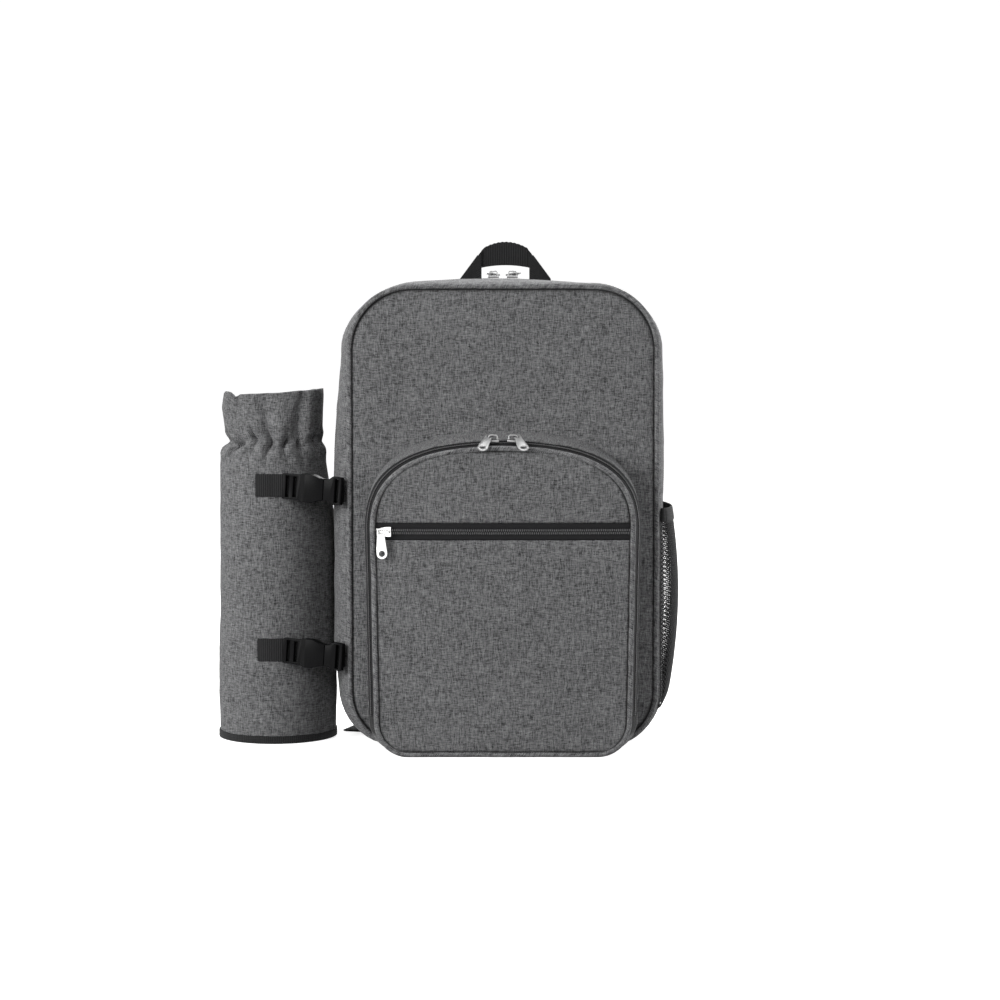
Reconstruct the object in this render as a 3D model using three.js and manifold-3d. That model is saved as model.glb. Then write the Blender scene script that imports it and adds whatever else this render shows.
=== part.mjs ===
// Cooler backpack with a buckled bottle holder, in millimetres.
// +Z is up, the front faces -Y, and the origin is the middle of the body's flat foot.
import * as THREE from "three";
import { mergeGeometries, mergeVertices } from "three/addons/utils/BufferGeometryUtils.js";
import Module from "manifold-3d";

const wasm = await Module();
wasm.setup();

// Clearances
const seamGap = 0.3; // between pieces that are sewn or that rest on each other
const bond = 0.1; // how far two lumps of one piece run into each other

// Main compartment
const bodyWidth = 272; // over the piping
const bodyHeight = 405; // over the piping
const bodyDepth = 140; // front panel's face to back panel's face
const bodyFootRadius = 48;
const bodyShoulderRadius = 57;
const panelWall = 4; // padded front panel
const backPanelWall = 7; // padded back panel
const gussetWall = 3;
const pipingDiameter = 5;
const cordSides = 5;
const pipingProud = 1.5; // how far the piping stands before the panel's face
const leftBulge = 11; // how far the soft sides stand out past the piping
const rightBulge = 7;
const topBulge = 6;
const bulgeCrest = 0.4; // where the bulge is highest, as a share of the depth
const upperCornerPower = 4; // of the bulge's fall towards the corners
const lowerCornerPower = 0.6;
const mainZipHeight = 222; // where the main zip ends on the sides
const mainZipSetback = 56; // middle of the main zip, behind the front panel's face
const zipTapeWidth = 18;
const coilWidth = 5;
const coilProud = 0.9;
const tapeWall = 1.6;

// Front pocket
const pocketDepth = 50;
const pocketWidth = 226; // over the piping, at the shoulder of its arch
const pocketFootWidth = 220;
const pocketHeight = 266;
const pocketArchRise = 71;
const pocketFootRadius = 30;
const pocketFlare = 7; // how far the seam on the body lies outside the piping, at the sides
const pocketTopFlare = 12; // the same at the top of the arch
const pocketWall = 2.5;
const pocketCrown = 4; // how far the pocket's face stands out in its middle
const pocketZipHeight = 34; // where the arched zip ends on the sides
const straightZipTop = 65.5; // straight zip's upper edge, below the pocket's top
const straightZipHeight = 14;
const tapeRecess = 0.7; // straight zip's tape behind the pocket's face
const archFullness = 0.69; // 0.55 is an ellipse, more is squarer
const roundFullness = 0.55;

// Sliders and pulls
const sliderLength = 10;
const sliderWidth = 8.5;
const sliderHeight = 2;
const bridgeRise = 4.5;
const bridgeThickness = 1.1;
const bridgeWidth = 2.2;
const pullLength = 23;
const pullWidth = 9;
const pullNeckWidth = 6.4;
const pullThickness = 1.2;
const pullLift = 1.5; // pull's underside above the slider, at the bridge
const sliderPitch = 17; // between two sliders that meet
const pullSplay = 0.28; // radians, how far the pulls of a pair lean apart
const mainPullDroop = 0.05; // radians, how far a pull tips down from its slider
const pocketPullDroop = 0.3;
const frontPullSwing = 0.06;

// Handle
const webbingWidth = 20;
const webbingThickness = 1.8;
const handleSpan = 84; // over the two legs
const handleRise = 43; // above the body
const handleSag = 5; // how far the grip is arched
const handleInset = 7; // ahead of the back panel's face
const foldAngle = 53; // degrees, of the bias folds at its corners
const foldFoot = 4; // height of a fold's foot above the body
const gripEase = 5; // how far the fold runs on past the leg's inner edge

// Side pocket of net
const netDrop = 12; // of its top below the main zip's ends
const netTop = mainZipHeight - netDrop;
const netFoot = 34;
const netDepth = 112; // along the body's depth
const netPuff = 12.5;
const netMouth = 6.4; // gap to the body under the binding
const netWall = 1.3;
const netSeatGap = 0.9; // at its sewn edges, where its flat cells cross the body's curve
const bindingHeight = 12;
const bindingWall = 2;
const netColumns = 7;
const netRows = 9;
const netStrand = 4;
const netRoundness = 0.6; // lower is squarer, seen from above
const netFullness = 0.8; // the same, seen from the front
const netBellyFoot = 0.02; // part of a half wave that the belly runs over, from its foot to its top
const netBellySpan = 0.86;

// Bottle holder
const sleeveRadius = 51;
const sleeveHeight = 311;
const sleeveWall = 3;
const sleeveGap = 3.5; // between the sleeve's binding and the body's side
const collarSlant = 7; // how far the rim drops from the right to the left
const collarFoot = 0.87; // share of the height where the gathered neck ends and the collar starts
const gatherCount = 12;
const gatherDepth = 3.4;
const footBindingHeight = 7;
const footBindingWall = 1.8;

// Buckled straps
const upperStrapHeight = 229;
const lowerStrapHeight = 84;
const strapTilt = 4; // degrees, down towards the body
const patchLength = 26;
const buckleLength = 40; // socket and clip, without the ladder
const buckleWidth = 25;
const buckleThickness = 8.5;
const ladderLength = 17;
const clipLength = 17;
const ladderThickness = 4;
const clipThickness = 5.5;
const slotWidth = 3.4;
const ladderInset = 1.5; // from the patch's end to the ladder
const tabReach = 11; // how far the tab lies along the body's side

// Shoulder straps
const shoulderStrapWidth = 58;
const shoulderStrapThickness = 9;
const shoulderStrapSpread = 96; // between the two straps' middles at the top
const shoulderStrapReach = 52; // how far they stand off the back
const adjusterWidth = 29;
const adjusterLength = 22;
const adjusterThickness = 5;

// Derived places
const bodyFront = -bodyDepth / 2;
const bodyBack = bodyDepth / 2;
const pipingRadius = pipingDiameter / 2;
const frontPipingY = bodyFront - pipingProud + pipingRadius;
const bridgeHalf = sliderLength * 0.42;
const rearPipingY = bodyBack + pipingProud - pipingRadius;
const gussetFrontY = frontPipingY + pipingRadius + seamGap;
const gussetRearY = rearPipingY - pipingRadius - seamGap;
const mainZipY = bodyFront + mainZipSetback;
const pocketFront = bodyFront - pocketDepth;
const pocketPipingY = pocketFront - pipingProud + pipingRadius;
const pocketZipFrontY = pocketPipingY + pipingRadius + seamGap;
const pocketZipRearY = pocketZipFrontY + zipTapeWidth;
const sleeveX = -bodyWidth / 2 - leftBulge - sleeveGap - footBindingWall - seamGap - sleeveRadius;

// Finishes
const finishes = {
  cloth: { color: 0x5b5b5d, roughness: 0.95, metalness: 0 },
  panelCloth: { color: 0x626264, roughness: 0.95, metalness: 0 },
  webbing: { color: 0x161618, roughness: 0.85, metalness: 0 },
  tape: { color: 0x1b1b1d, roughness: 0.8, metalness: 0 },
  net: { color: 0x141415, roughness: 0.75, metalness: 0 },
  plastic: { color: 0x1c1c1e, roughness: 0.4, metalness: 0 },
  nickel: { color: 0xc2c2be, roughness: 0.25, metalness: 1 },
  darkNickel: { color: 0x8b8b88, roughness: 0.3, metalness: 1 },
};

const backpack = new THREE.Group();

function addPiece(name, geometry, finish, parent = backpack) {
  const mesh = new THREE.Mesh(geometry, new THREE.MeshStandardMaterial(finishes[finish]));
  mesh.name = name;
  parent.add(mesh);
  return mesh;
}

function mix(from, to, share) {
  return from + (to - from) * share;
}

// Merges a geometry's points, drops faces that have shrunk to nothing and turns all faces outwards
function closed(geometry) {
  const bare = geometry.clone();
  bare.deleteAttribute("normal");
  bare.deleteAttribute("uv");
  const merged = mergeVertices(bare, 1e-4);
  const position = merged.getAttribute("position");
  const corner = [new THREE.Vector3(), new THREE.Vector3(), new THREE.Vector3()];
  const kept = [];
  let volume = 0;
  for (let face = 0; face < merged.index.count; face += 3) {
    const at = [0, 1, 2].map((k) => merged.index.getX(face + k));
    if (at[0] === at[1] || at[1] === at[2] || at[2] === at[0]) continue;
    at.forEach((index, k) => corner[k].fromBufferAttribute(position, index));
    volume += corner[0].dot(corner[1].clone().cross(corner[2]));
    kept.push(at);
  }
  const outward = volume < 0 ? kept.map(([a, b, c]) => [a, c, b]) : kept;
  merged.setIndex(outward.flat());
  return merged;
}

function warped(geometry, place) {
  const moved = geometry.clone();
  const position = moved.getAttribute("position");
  const point = new THREE.Vector3();
  for (let i = 0; i < position.count; i += 1) {
    point.fromBufferAttribute(position, i);
    const target = place(point.clone());
    position.setXYZ(i, target.x, target.y, target.z);
  }
  return closed(moved);
}

function solidFrom(geometry) {
  const merged = closed(geometry);
  return new wasm.Manifold(
    new wasm.Mesh({
      numProp: 3,
      vertProperties: new Float32Array(merged.getAttribute("position").array),
      triVerts: new Uint32Array(merged.index.array),
    }),
  );
}

function geometryFrom(solid) {
  const mesh = solid.getMesh();
  const geometry = new THREE.BufferGeometry();
  const points = new Float32Array(mesh.numVert * 3);
  for (let i = 0; i < mesh.numVert; i += 1) {
    points.set(mesh.vertProperties.subarray(i * mesh.numProp, i * mesh.numProp + 3), i * 3);
  }
  geometry.setAttribute("position", new THREE.BufferAttribute(points, 3));
  geometry.setIndex(Array.from(mesh.triVerts));
  return geometry;
}

function joined(...geometries) {
  const [first, ...others] = geometries.map(solidFrom);
  return geometryFrom(others.reduce((sum, solid) => sum.add(solid), first));
}

function shared(first, second) {
  return geometryFrom(solidFrom(first).intersect(solidFrom(second)));
}

function boxAt(low, high) {
  const size = high.map((value, axis) => value - low[axis]);
  const middle = high.map((value, axis) => (value + low[axis]) / 2);
  return new THREE.BoxGeometry(...size).translate(...middle);
}

// Upright outline in x and z, as points with outward normals, from the middle of its foot round to the right
function outlineOf({ footHalf, shoulderHalf, height, footRadius, run, rise, fullness, split, cuts }) {
  const shoulderFoot = height - rise;
  const splitHalf = mix(footHalf, shoulderHalf, (split - footRadius) / (shoulderFoot - footRadius));
  const at = (x, z) => new THREE.Vector2(x, z);
  const stretches = [
    [new THREE.LineCurve(at(0, 0), at(footHalf - footRadius, 0)), cuts.footCells],
    [
      new THREE.EllipseCurve(footHalf - footRadius, footRadius, footRadius, footRadius, -Math.PI / 2, 0),
      cuts.footCornerCells,
    ],
    [new THREE.LineCurve(at(footHalf, footRadius), at(splitHalf, split)), cuts.lowerSideCells],
    [new THREE.LineCurve(at(splitHalf, split), at(shoulderHalf, shoulderFoot)), cuts.upperSideCells],
    [
      new THREE.CubicBezierCurve(
        at(shoulderHalf, shoulderFoot),
        at(shoulderHalf, shoulderFoot + rise * fullness),
        at(shoulderHalf - run * (1 - fullness), height),
        at(shoulderHalf - run, height),
      ),
      cuts.shoulderCells,
    ],
  ];
  if (run < shoulderHalf) {
    stretches.push([new THREE.LineCurve(at(shoulderHalf - run, height), at(0, height)), cuts.crownCells]);
  }
  const right = [at(0, 0)];
  for (const [curve, count] of stretches) right.push(...curve.getPoints(count).slice(1));
  const left = right.slice(1, -1).reverse().map((point) => at(-point.x, point.y));
  const all = [...right, ...left];
  return all.map((point, i) => {
    const before = point.clone().sub(all.at(i - 1)).normalize();
    const after = all[(i + 1) % all.length].clone().sub(point).normalize();
    const along = before.add(after).normalize();
    return { x: point.x, z: point.y, nx: along.y, nz: -along.x };
  });
}

function offsetPoint(station, offset, y) {
  return new THREE.Vector3(station.x + station.nx * offset, y, station.z + station.nz * offset);
}

// The stations above a height, in order over the top, and those below it, in order under the foot
function above(stations, height) {
  return stations.filter((station) => station.z > height - seamGap);
}

function below(stations, height) {
  const isLow = (station) => station.z < height + seamGap;
  const firstHigh = stations.findIndex((station) => !isLow(station));
  const round = [...stations.slice(firstHigh), ...stations.slice(0, firstHigh)];
  const low = round.filter(isLow);
  return low.map((station, i) => {
    const atEnd = i === 0 || i === low.length - 1;
    return atEnd ? { ...station, z: station.z - seamGap } : station;
  });
}

// Open band along a run of stations: place takes a station, the share across it and the share
// through its wall
function band(stations, cells, place) {
  const last = stations.length - 1;
  return warped(new THREE.BoxGeometry(1, 1, 1, last, cells, 1), (point) =>
    place(stations[Math.round((point.x + 0.5) * last)], point.y + 0.5, point.z + 0.5),
  );
}

// Round cord laid along a closed run of stations
function cordRing(stations, sides, radius, offset, y) {
  const count = stations.length;
  return warped(new THREE.TorusGeometry(2, 1, sides, count), (point) => {
    const turn = Math.atan2(point.y, point.x) / (2 * Math.PI);
    const station = stations[(Math.round(turn * count) + count) % count];
    const outward = Math.hypot(point.x, point.y) - 2;
    return offsetPoint(station, offset + outward * radius, y + point.z * radius);
  });
}

// Flat panel inside an outline, from one y to another
function flatPanel(stations, offset, fromY, toY) {
  const corners = stations.map((station) => {
    const point = offsetPoint(station, offset, 0);
    return new THREE.Vector2(point.x, point.z);
  });
  const plate = new THREE.ExtrudeGeometry(new THREE.Shape(corners), {
    depth: toY - fromY,
    bevelEnabled: false,
  });
  return closed(plate.rotateX(Math.PI / 2).translate(0, toY, 0));
}

// Crowned panel inside an outline: place takes a station, the reach from the middle and the share
// through the wall
function crownedPanel(stations, reaches, place) {
  const profile = [];
  for (const reach of reaches) profile.push(new THREE.Vector2(reach, 0));
  for (const reach of [...reaches].reverse()) profile.push(new THREE.Vector2(reach, 1));
  const count = stations.length;
  return warped(new THREE.LatheGeometry(profile, count), (point) => {
    const turn = Math.atan2(point.x, point.z) / (2 * Math.PI);
    const station = stations[(Math.round(turn * count) + count) % count];
    return place(station, Math.hypot(point.x, point.z), point.y);
  });
}

// Main compartment
const bodyOutline = outlineOf({
  footHalf: bodyWidth / 2,
  shoulderHalf: bodyWidth / 2,
  height: bodyHeight,
  footRadius: bodyFootRadius,
  run: bodyShoulderRadius,
  rise: bodyShoulderRadius,
  fullness: roundFullness,
  split: mainZipHeight,
  cuts: {
    footCells: 2,
    footCornerCells: 5,
    lowerSideCells: 4,
    upperSideCells: 3,
    shoulderCells: 6,
    crownCells: 3,
  },
});

// How far the side band bulges: little at the upper corners, fully round the lower ones down to the floor
function bodyBulge(station) {
  const power = station.nz > 0 ? upperCornerPower : lowerCornerPower;
  const left = leftBulge * Math.max(0, -station.nx) ** power;
  const right = rightBulge * Math.max(0, station.nx) ** power;
  const top = topBulge * Math.max(0, station.nz) ** power;
  const bulge = left + right + top;
  return station.nz < 0 ? Math.min(bulge, station.z / -station.nz) : bulge;
}

// Point of the soft side band at a depth y, wall 0 inside to 1 outside
function bodySide(station, y, wall, lift = 0) {
  const share = (y - gussetFrontY) / (gussetRearY - gussetFrontY);
  const skewed = share ** (Math.log(0.5) / Math.log(bulgeCrest));
  const rise = bodyBulge(station) * Math.sin(Math.PI * Math.min(1, Math.max(0, skewed)));
  return offsetPoint(station, rise + lift - (1 - wall) * gussetWall, y);
}

function sideStrip(stations, cells, fromY, toY) {
  return band(stations, cells, (station, across, wall) =>
    bodySide(station, mix(fromY, toY, across), wall),
  );
}

// Zip tape whose coil stands proud along its middle; side gives the carrying surface's point at a lift
function zipStrip(stations, fromY, toY, side) {
  const middle = (fromY + toY) / 2;
  const coil = coilWidth / 2;
  const rows = [
    { y: fromY, lift: 0 },
    { y: middle - coil, lift: 0 },
    { y: middle - coil / 2, lift: coilProud },
    { y: middle + coil / 2, lift: coilProud },
    { y: middle + coil, lift: 0 },
    { y: toY, lift: 0 },
  ];
  const last = rows.length - 1;
  return band(stations, last, (station, across, wall) => {
    const row = rows[Math.round(across * last)];
    return side(station, row.y, wall > 0.5 ? row.lift : -tapeWall);
  });
}

const zipFrontY = mainZipY - zipTapeWidth / 2;
const zipRearY = mainZipY + zipTapeWidth / 2;
const bodyTop = above(bodyOutline, mainZipHeight);
const bodyBase = below(bodyOutline, mainZipHeight);
const panelInset = -pipingDiameter - seamGap;

addPiece("front_panel", flatPanel(bodyOutline, panelInset, bodyFront, bodyFront + panelWall), "panelCloth");
addPiece("back_panel", flatPanel(bodyOutline, panelInset, bodyBack - backPanelWall, bodyBack), "cloth");
addPiece("front_piping", cordRing(bodyOutline, cordSides, pipingRadius, -pipingRadius, frontPipingY), "cloth");
addPiece("rear_piping", cordRing(bodyOutline, cordSides, pipingRadius, -pipingRadius, rearPipingY), "cloth");
addPiece("base_gusset", sideStrip(bodyBase, 6, gussetFrontY, gussetRearY), "cloth");
addPiece("top_gusset_front", sideStrip(bodyTop, 3, gussetFrontY, zipFrontY - seamGap), "cloth");
addPiece("top_gusset_rear", sideStrip(bodyTop, 3, zipRearY + seamGap, gussetRearY), "cloth");
addPiece(
  "main_zipper",
  zipStrip(bodyTop, zipFrontY, zipRearY, (station, y, lift) => bodySide(station, y, 1, lift)),
  "tape",
);

// Front pocket
const pocketCuts = {
  footCells: 2,
  footCornerCells: 5,
  lowerSideCells: 1,
  upperSideCells: 4,
  shoulderCells: 8,
  crownCells: 1,
};
const pocketSizes = {
  footHalf: pocketFootWidth / 2,
  shoulderHalf: pocketWidth / 2,
  height: pocketHeight,
  footRadius: pocketFootRadius,
  run: pocketWidth / 2,
  rise: pocketArchRise,
  fullness: archFullness,
  split: pocketZipHeight,
  cuts: pocketCuts,
};
const pocketOutline = outlineOf(pocketSizes);
const pocketSeam = outlineOf({
  ...pocketSizes,
  footHalf: pocketSizes.footHalf + pocketFlare,
  shoulderHalf: pocketSizes.shoulderHalf + pocketFlare,
  height: pocketHeight + pocketTopFlare,
  run: pocketSizes.run + pocketFlare,
  rise: pocketArchRise + pocketTopFlare,
});
const sideZipFlare = 0.85; // share of the flare that the zip takes up, at the sides
const topZipFlare = 0.35;

// Point of the pocket's side band at a depth y, with a lift off its outer surface
function pocketSide(index, y, lift) {
  const near = pocketOutline[index];
  const far = pocketSeam[index];
  const zipFlare = mix(sideZipFlare, topZipFlare, Math.max(0, near.nz) ** 2);
  const isZip = y < pocketZipRearY;
  const share = isZip
    ? (zipFlare * (y - pocketPipingY)) / (pocketZipRearY - pocketPipingY)
    : mix(zipFlare, 1, (y - pocketZipRearY) / (bodyFront - pocketZipRearY));
  const station = {
    x: mix(near.x, far.x, share),
    z: mix(near.z, far.z, share),
    nx: near.nx,
    nz: near.nz,
  };
  return offsetPoint(station, lift, y);
}

const numbered = pocketOutline.map((station, index) => ({ ...station, index }));
const pocketTop = above(numbered, pocketZipHeight);
const pocketBase = below(numbered, pocketZipHeight);

// The rim that meets the body stands clear of the body's piping at the foot
function pocketRimY(station) {
  const overPiping = station.z < pocketFootRadius;
  return overPiping ? frontPipingY - pipingRadius - seamGap : bodyFront - seamGap;
}

function pocketStrip(stations, cells, fromY) {
  return band(stations, cells, (station, across, wall) => {
    const y = mix(fromY, pocketRimY(station), across);
    const point = pocketSide(station.index, y, (wall - 1) * pocketWall);
    return station.z < pocketOutline[station.index].z ? point.setZ(point.z - seamGap) : point;
  });
}

addPiece("pocket_gusset", pocketStrip(pocketTop, 3, pocketZipRearY + seamGap), "cloth");
addPiece("pocket_base_gusset", pocketStrip(pocketBase, 4, pocketZipFrontY), "cloth");
addPiece(
  "pocket_zipper",
  zipStrip(pocketTop, pocketZipFrontY, pocketZipRearY, (station, y, lift) =>
    pocketSide(station.index, y, lift),
  ),
  "tape",
);
addPiece(
  "pocket_piping",
  cordRing(pocketOutline, cordSides, pipingRadius, -pipingRadius, pocketPipingY),
  "cloth",
);

const pocketMiddle = new THREE.Vector3(0, 0, pocketHeight / 2);

// Depth of the pocket's crowned face at a reach from its middle
function crownY(reach) {
  return pocketFront - pocketCrown * (1 - reach ** 2);
}

function pocketFace(recess, wall) {
  return crownedPanel(pocketOutline, [0, 0.45, 0.75, 1], (station, reach, through) => {
    const edge = offsetPoint(station, panelInset, 0);
    const point = pocketMiddle.clone().lerp(edge, reach);
    return point.setY(crownY(reach) + recess + (1 - through) * wall);
  });
}

const zipTopZ = pocketHeight - straightZipTop;
const zipFootZ = zipTopZ - straightZipHeight;

function faceBetween(recess, wall, low, high) {
  const reach = bodyWidth;
  return shared(pocketFace(recess, wall), boxAt([-reach, -reach, low], [reach, 0, high]));
}

addPiece("pocket_upper_panel", faceBetween(0, pocketWall, zipTopZ + seamGap, bodyHeight), "panelCloth");
addPiece("pocket_lower_panel", faceBetween(0, pocketWall, -1, zipFootZ - seamGap), "panelCloth");
const coilMiddleZ = (zipTopZ + zipFootZ) / 2;
addPiece(
  "pocket_front_zipper",
  joined(
    faceBetween(tapeRecess, tapeWall, zipFootZ, zipTopZ),
    faceBetween(tapeRecess - coilProud, tapeWall, coilMiddleZ - coilWidth / 2, coilMiddleZ + coilWidth / 2),
  ),
  "tape",
);

// Slider in its own frame: it runs along X, its top faces +Z and its bridge stands on the top
function sliderGeometry() {
  const nose = sliderWidth * 0.36;
  const shoulder = bridgeRise - 1.6 * bridgeThickness;
  const plan = new THREE.Shape();
  plan.moveTo(-sliderLength / 2, -nose);
  plan.lineTo(0, -sliderWidth / 2);
  plan.lineTo(sliderLength / 2, -sliderWidth / 2);
  plan.lineTo(sliderLength / 2, sliderWidth / 2);
  plan.lineTo(0, sliderWidth / 2);
  plan.lineTo(-sliderLength / 2, nose);
  const plate = new THREE.ExtrudeGeometry(plan, { depth: sliderHeight, bevelEnabled: false });
  const half = bridgeHalf;
  const arch = new THREE.Shape();
  arch.moveTo(-half, 0);
  arch.lineTo(-half, bridgeRise * 0.6);
  arch.lineTo(-half * 0.6, bridgeRise);
  arch.lineTo(half * 0.6, bridgeRise);
  arch.lineTo(half, bridgeRise * 0.6);
  arch.lineTo(half, 0);
  arch.lineTo(half - bridgeThickness, 0);
  arch.lineTo(half - bridgeThickness, shoulder);
  arch.lineTo(half * 0.5, bridgeRise - bridgeThickness);
  arch.lineTo(-half * 0.5, bridgeRise - bridgeThickness);
  arch.lineTo(-half + bridgeThickness, shoulder);
  arch.lineTo(-half + bridgeThickness, 0);
  const bridge = new THREE.ExtrudeGeometry(arch, { depth: bridgeWidth, bevelEnabled: false });
  bridge.rotateX(Math.PI / 2).translate(0, bridgeWidth / 2, sliderHeight - bond);
  return joined(plate, bridge);
}

// Pull in its own frame: it hangs along -Y from the bridge, its window round the bridge's leg
function pullGeometry() {
  const bar = 1.3; // between the window and the edges
  const windowHeight = bridgeWidth + 1.4;
  const top = windowHeight / 2 + bar;
  const tab = new THREE.Shape();
  tab.moveTo(-pullNeckWidth / 2, top);
  tab.lineTo(-pullNeckWidth / 2, -windowHeight);
  tab.lineTo(-pullWidth / 2, -pullLength + pullWidth);
  tab.absarc(0, -pullLength + pullWidth / 2, pullWidth / 2, Math.PI, 2 * Math.PI, false);
  tab.lineTo(pullNeckWidth / 2, -windowHeight);
  tab.lineTo(pullNeckWidth / 2, top);
  const slot = new THREE.Path();
  slot.moveTo(-pullNeckWidth / 2 + bar, windowHeight / 2);
  slot.lineTo(pullNeckWidth / 2 - bar, windowHeight / 2);
  slot.lineTo(pullNeckWidth / 2 - bar, -windowHeight / 2);
  slot.lineTo(-pullNeckWidth / 2 + bar, -windowHeight / 2);
  const eye = new THREE.Path();
  eye.absarc(0, -pullLength + pullWidth / 2, pullWidth * 0.3, 0, 2 * Math.PI, true);
  tab.holes.push(slot, eye);
  return new THREE.ExtrudeGeometry(tab, { depth: pullThickness, bevelEnabled: false, curveSegments: 5 });
}

// A slider with its pull: swing turns the pull in the slider's plane, droop tips it down
function addSlider({ slider, pull, place, lean, turn, side, swing, droop, finish }) {
  const seat = new THREE.Group();
  seat.position.copy(place);
  seat.rotation.set(lean, 0, turn);
  addPiece(slider, closed(sliderGeometry()), finish, seat);
  const legX = (bridgeHalf - bridgeThickness / 2) * side;
  const hinge = new THREE.Group();
  hinge.position.set(legX, 0, sliderHeight + pullLift);
  hinge.rotation.set(droop, 0, swing);
  addPiece(pull, closed(pullGeometry()), finish, hinge);
  seat.add(hinge);
  backpack.add(seat);
}

const crownStation = { x: 0, z: bodyHeight, nx: 0, nz: 1 };
const isCrown = (station) => station.z > pocketHeight - seamGap && station.nx ** 2 < 1e-6;
const crownIndex = pocketOutline.findIndex(isCrown);
const sides = [
  { word: "left", sign: -1 },
  { word: "right", sign: 1 },
];
const archZipY = (pocketZipFrontY + pocketZipRearY) / 2;
const archRise = pocketSide(crownIndex, pocketZipRearY, 0).z - pocketSide(crownIndex, pocketZipFrontY, 0).z;
const archLean = Math.atan2(archRise, zipTapeWidth);
const sliderSeat = coilProud + seamGap;

for (const { word, sign } of sides) {
  const crown = bodySide(crownStation, mainZipY, 1, sliderSeat);
  addSlider({
    slider: "main_slider_" + word,
    pull: "main_pull_" + word,
    place: crown.setX((sign * sliderPitch) / 2),
    lean: 0,
    turn: Math.PI,
    side: -sign,
    swing: pullSplay * sign,
    droop: mainPullDroop,
    finish: "darkNickel",
  });
  const arch = pocketSide(crownIndex, archZipY, sliderSeat);
  addSlider({
    slider: "pocket_slider_" + word,
    pull: "pocket_pull_" + word,
    place: arch.setX((sign * sliderPitch) / 2),
    lean: archLean,
    turn: 0,
    side: sign,
    swing: pullSplay * sign,
    droop: pocketPullDroop,
    finish: "darkNickel",
  });
}

const straightZipEnd = pocketWidth / 2 - pipingDiameter - seamGap;
const frontSliderX = -straightZipEnd + sliderLength * 0.75;
const frontSliderY = crownY(-frontSliderX / straightZipEnd) + tapeRecess - sliderSeat;
addSlider({
  slider: "front_zip_slider",
  pull: "front_zip_pull",
  place: new THREE.Vector3(frontSliderX, frontSliderY, coilMiddleZ),
  lean: Math.PI / 2,
  turn: 0,
  side: -1,
  swing: frontPullSwing,
  droop: 0,
  finish: "nickel",
});

// Flat strip along a curve: its width lies along the direction across, made square to the curve
function stripAlong(points, width, thickness, cells, across) {
  const curve = new THREE.CatmullRomCurve3(points, false, "centripetal");
  return warped(new THREE.BoxGeometry(1, 1, 1, cells, 1, 1), (point) => {
    const share = point.x + 0.5;
    const along = curve.getTangentAt(share);
    const side = across.clone().addScaledVector(along, -across.dot(along)).normalize();
    const face = new THREE.Vector3().crossVectors(along, side);
    return curve
      .getPointAt(share)
      .addScaledVector(side, point.y * width)
      .addScaledVector(face, point.z * thickness);
  });
}

// Handle: two legs whose webbing is folded on the bias behind them into the arched grip
const handleY = bodyBack - handleInset;

function handleGeometry() {
  const legOuter = handleSpan / 2;
  const legInner = legOuter - webbingWidth;
  const footZ = bodySide(crownStation, handleY, 1, seamGap).z;
  const foldFootZ = footZ + foldFoot;
  const foldSlope = Math.tan((foldAngle * Math.PI) / 180);
  const foldZ = (x) => foldFootZ + (legOuter - x) * foldSlope;
  const topZ = bodyHeight + handleRise;
  const gripZ = topZ - webbingWidth;
  const gripEnd = legInner - gripEase;
  const gripFoot = legOuter - (gripZ - 2 * handleSag * 0.8 - foldFootZ) / foldSlope;
  const layers = sides.map(({ sign }) => {
    const leg = new THREE.Shape();
    leg.moveTo(sign * legOuter, footZ);
    leg.lineTo(sign * legOuter, foldFootZ);
    leg.lineTo(sign * legInner, foldZ(legInner));
    leg.lineTo(sign * legInner, footZ);
    return new THREE.ExtrudeGeometry(leg, { depth: webbingThickness, bevelEnabled: false });
  });
  const grip = new THREE.Shape();
  grip.moveTo(-gripFoot, foldZ(gripFoot));
  grip.lineTo(-gripEnd, foldZ(gripEnd));
  grip.quadraticCurveTo(0, 2 * topZ - foldZ(gripEnd), gripEnd, foldZ(gripEnd));
  grip.lineTo(gripFoot, foldZ(gripFoot));
  grip.quadraticCurveTo(0, gripZ + handleSag, -gripFoot, foldZ(gripFoot));
  const rear = new THREE.ExtrudeGeometry(grip, {
    depth: webbingThickness,
    bevelEnabled: false,
    curveSegments: 8,
  });
  rear.translate(0, 0, bond - webbingThickness);
  return joined(...layers, rear).rotateX(Math.PI / 2).translate(0, handleY, 0);
}
addPiece("handle", closed(handleGeometry()), "webbing");

// Side pocket of net on the right, puffed out from the body and open at the top
const rightStation = { x: bodyWidth / 2, z: 0, nx: 1, nz: 0 };

// Place on the net: across is a share of its depth, z its height, lift its distance off the net's own surface
function netPoint(across, z, lift) {
  const y = (across - 0.5) * netDepth;
  const up = (z - netFoot) / (netTop - netFoot);
  const round = Math.sin(Math.PI * across) ** netRoundness;
  const belly = Math.sin(Math.PI * Math.min(1, netBellyFoot + up * netBellySpan)) ** netFullness;
  const mouth = netMouth * Math.max(0, (up - 0.5) * 2) ** 1.5;
  const stand = Math.min(netPuff, Math.max(netPuff * belly, mouth)) * round;
  const body = bodySide(rightStation, y, 1).x;
  return new THREE.Vector3(body + netSeatGap + stand + lift, y, z);
}

// One square of net with its diamond gap
function netTile(cellWidth, cellHeight) {
  const tile = new THREE.Shape();
  tile.moveTo(0, 0);
  tile.lineTo(cellWidth, 0);
  tile.lineTo(cellWidth, cellHeight);
  tile.lineTo(0, cellHeight);
  const gap = new THREE.Path();
  gap.moveTo(netStrand / 2, cellHeight / 2);
  gap.lineTo(cellWidth / 2, cellHeight - netStrand / 2);
  gap.lineTo(cellWidth - netStrand / 2, cellHeight / 2);
  gap.lineTo(cellWidth / 2, netStrand / 2);
  tile.holes.push(gap);
  return new THREE.ExtrudeGeometry(tile, { depth: 1, bevelEnabled: false });
}

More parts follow.
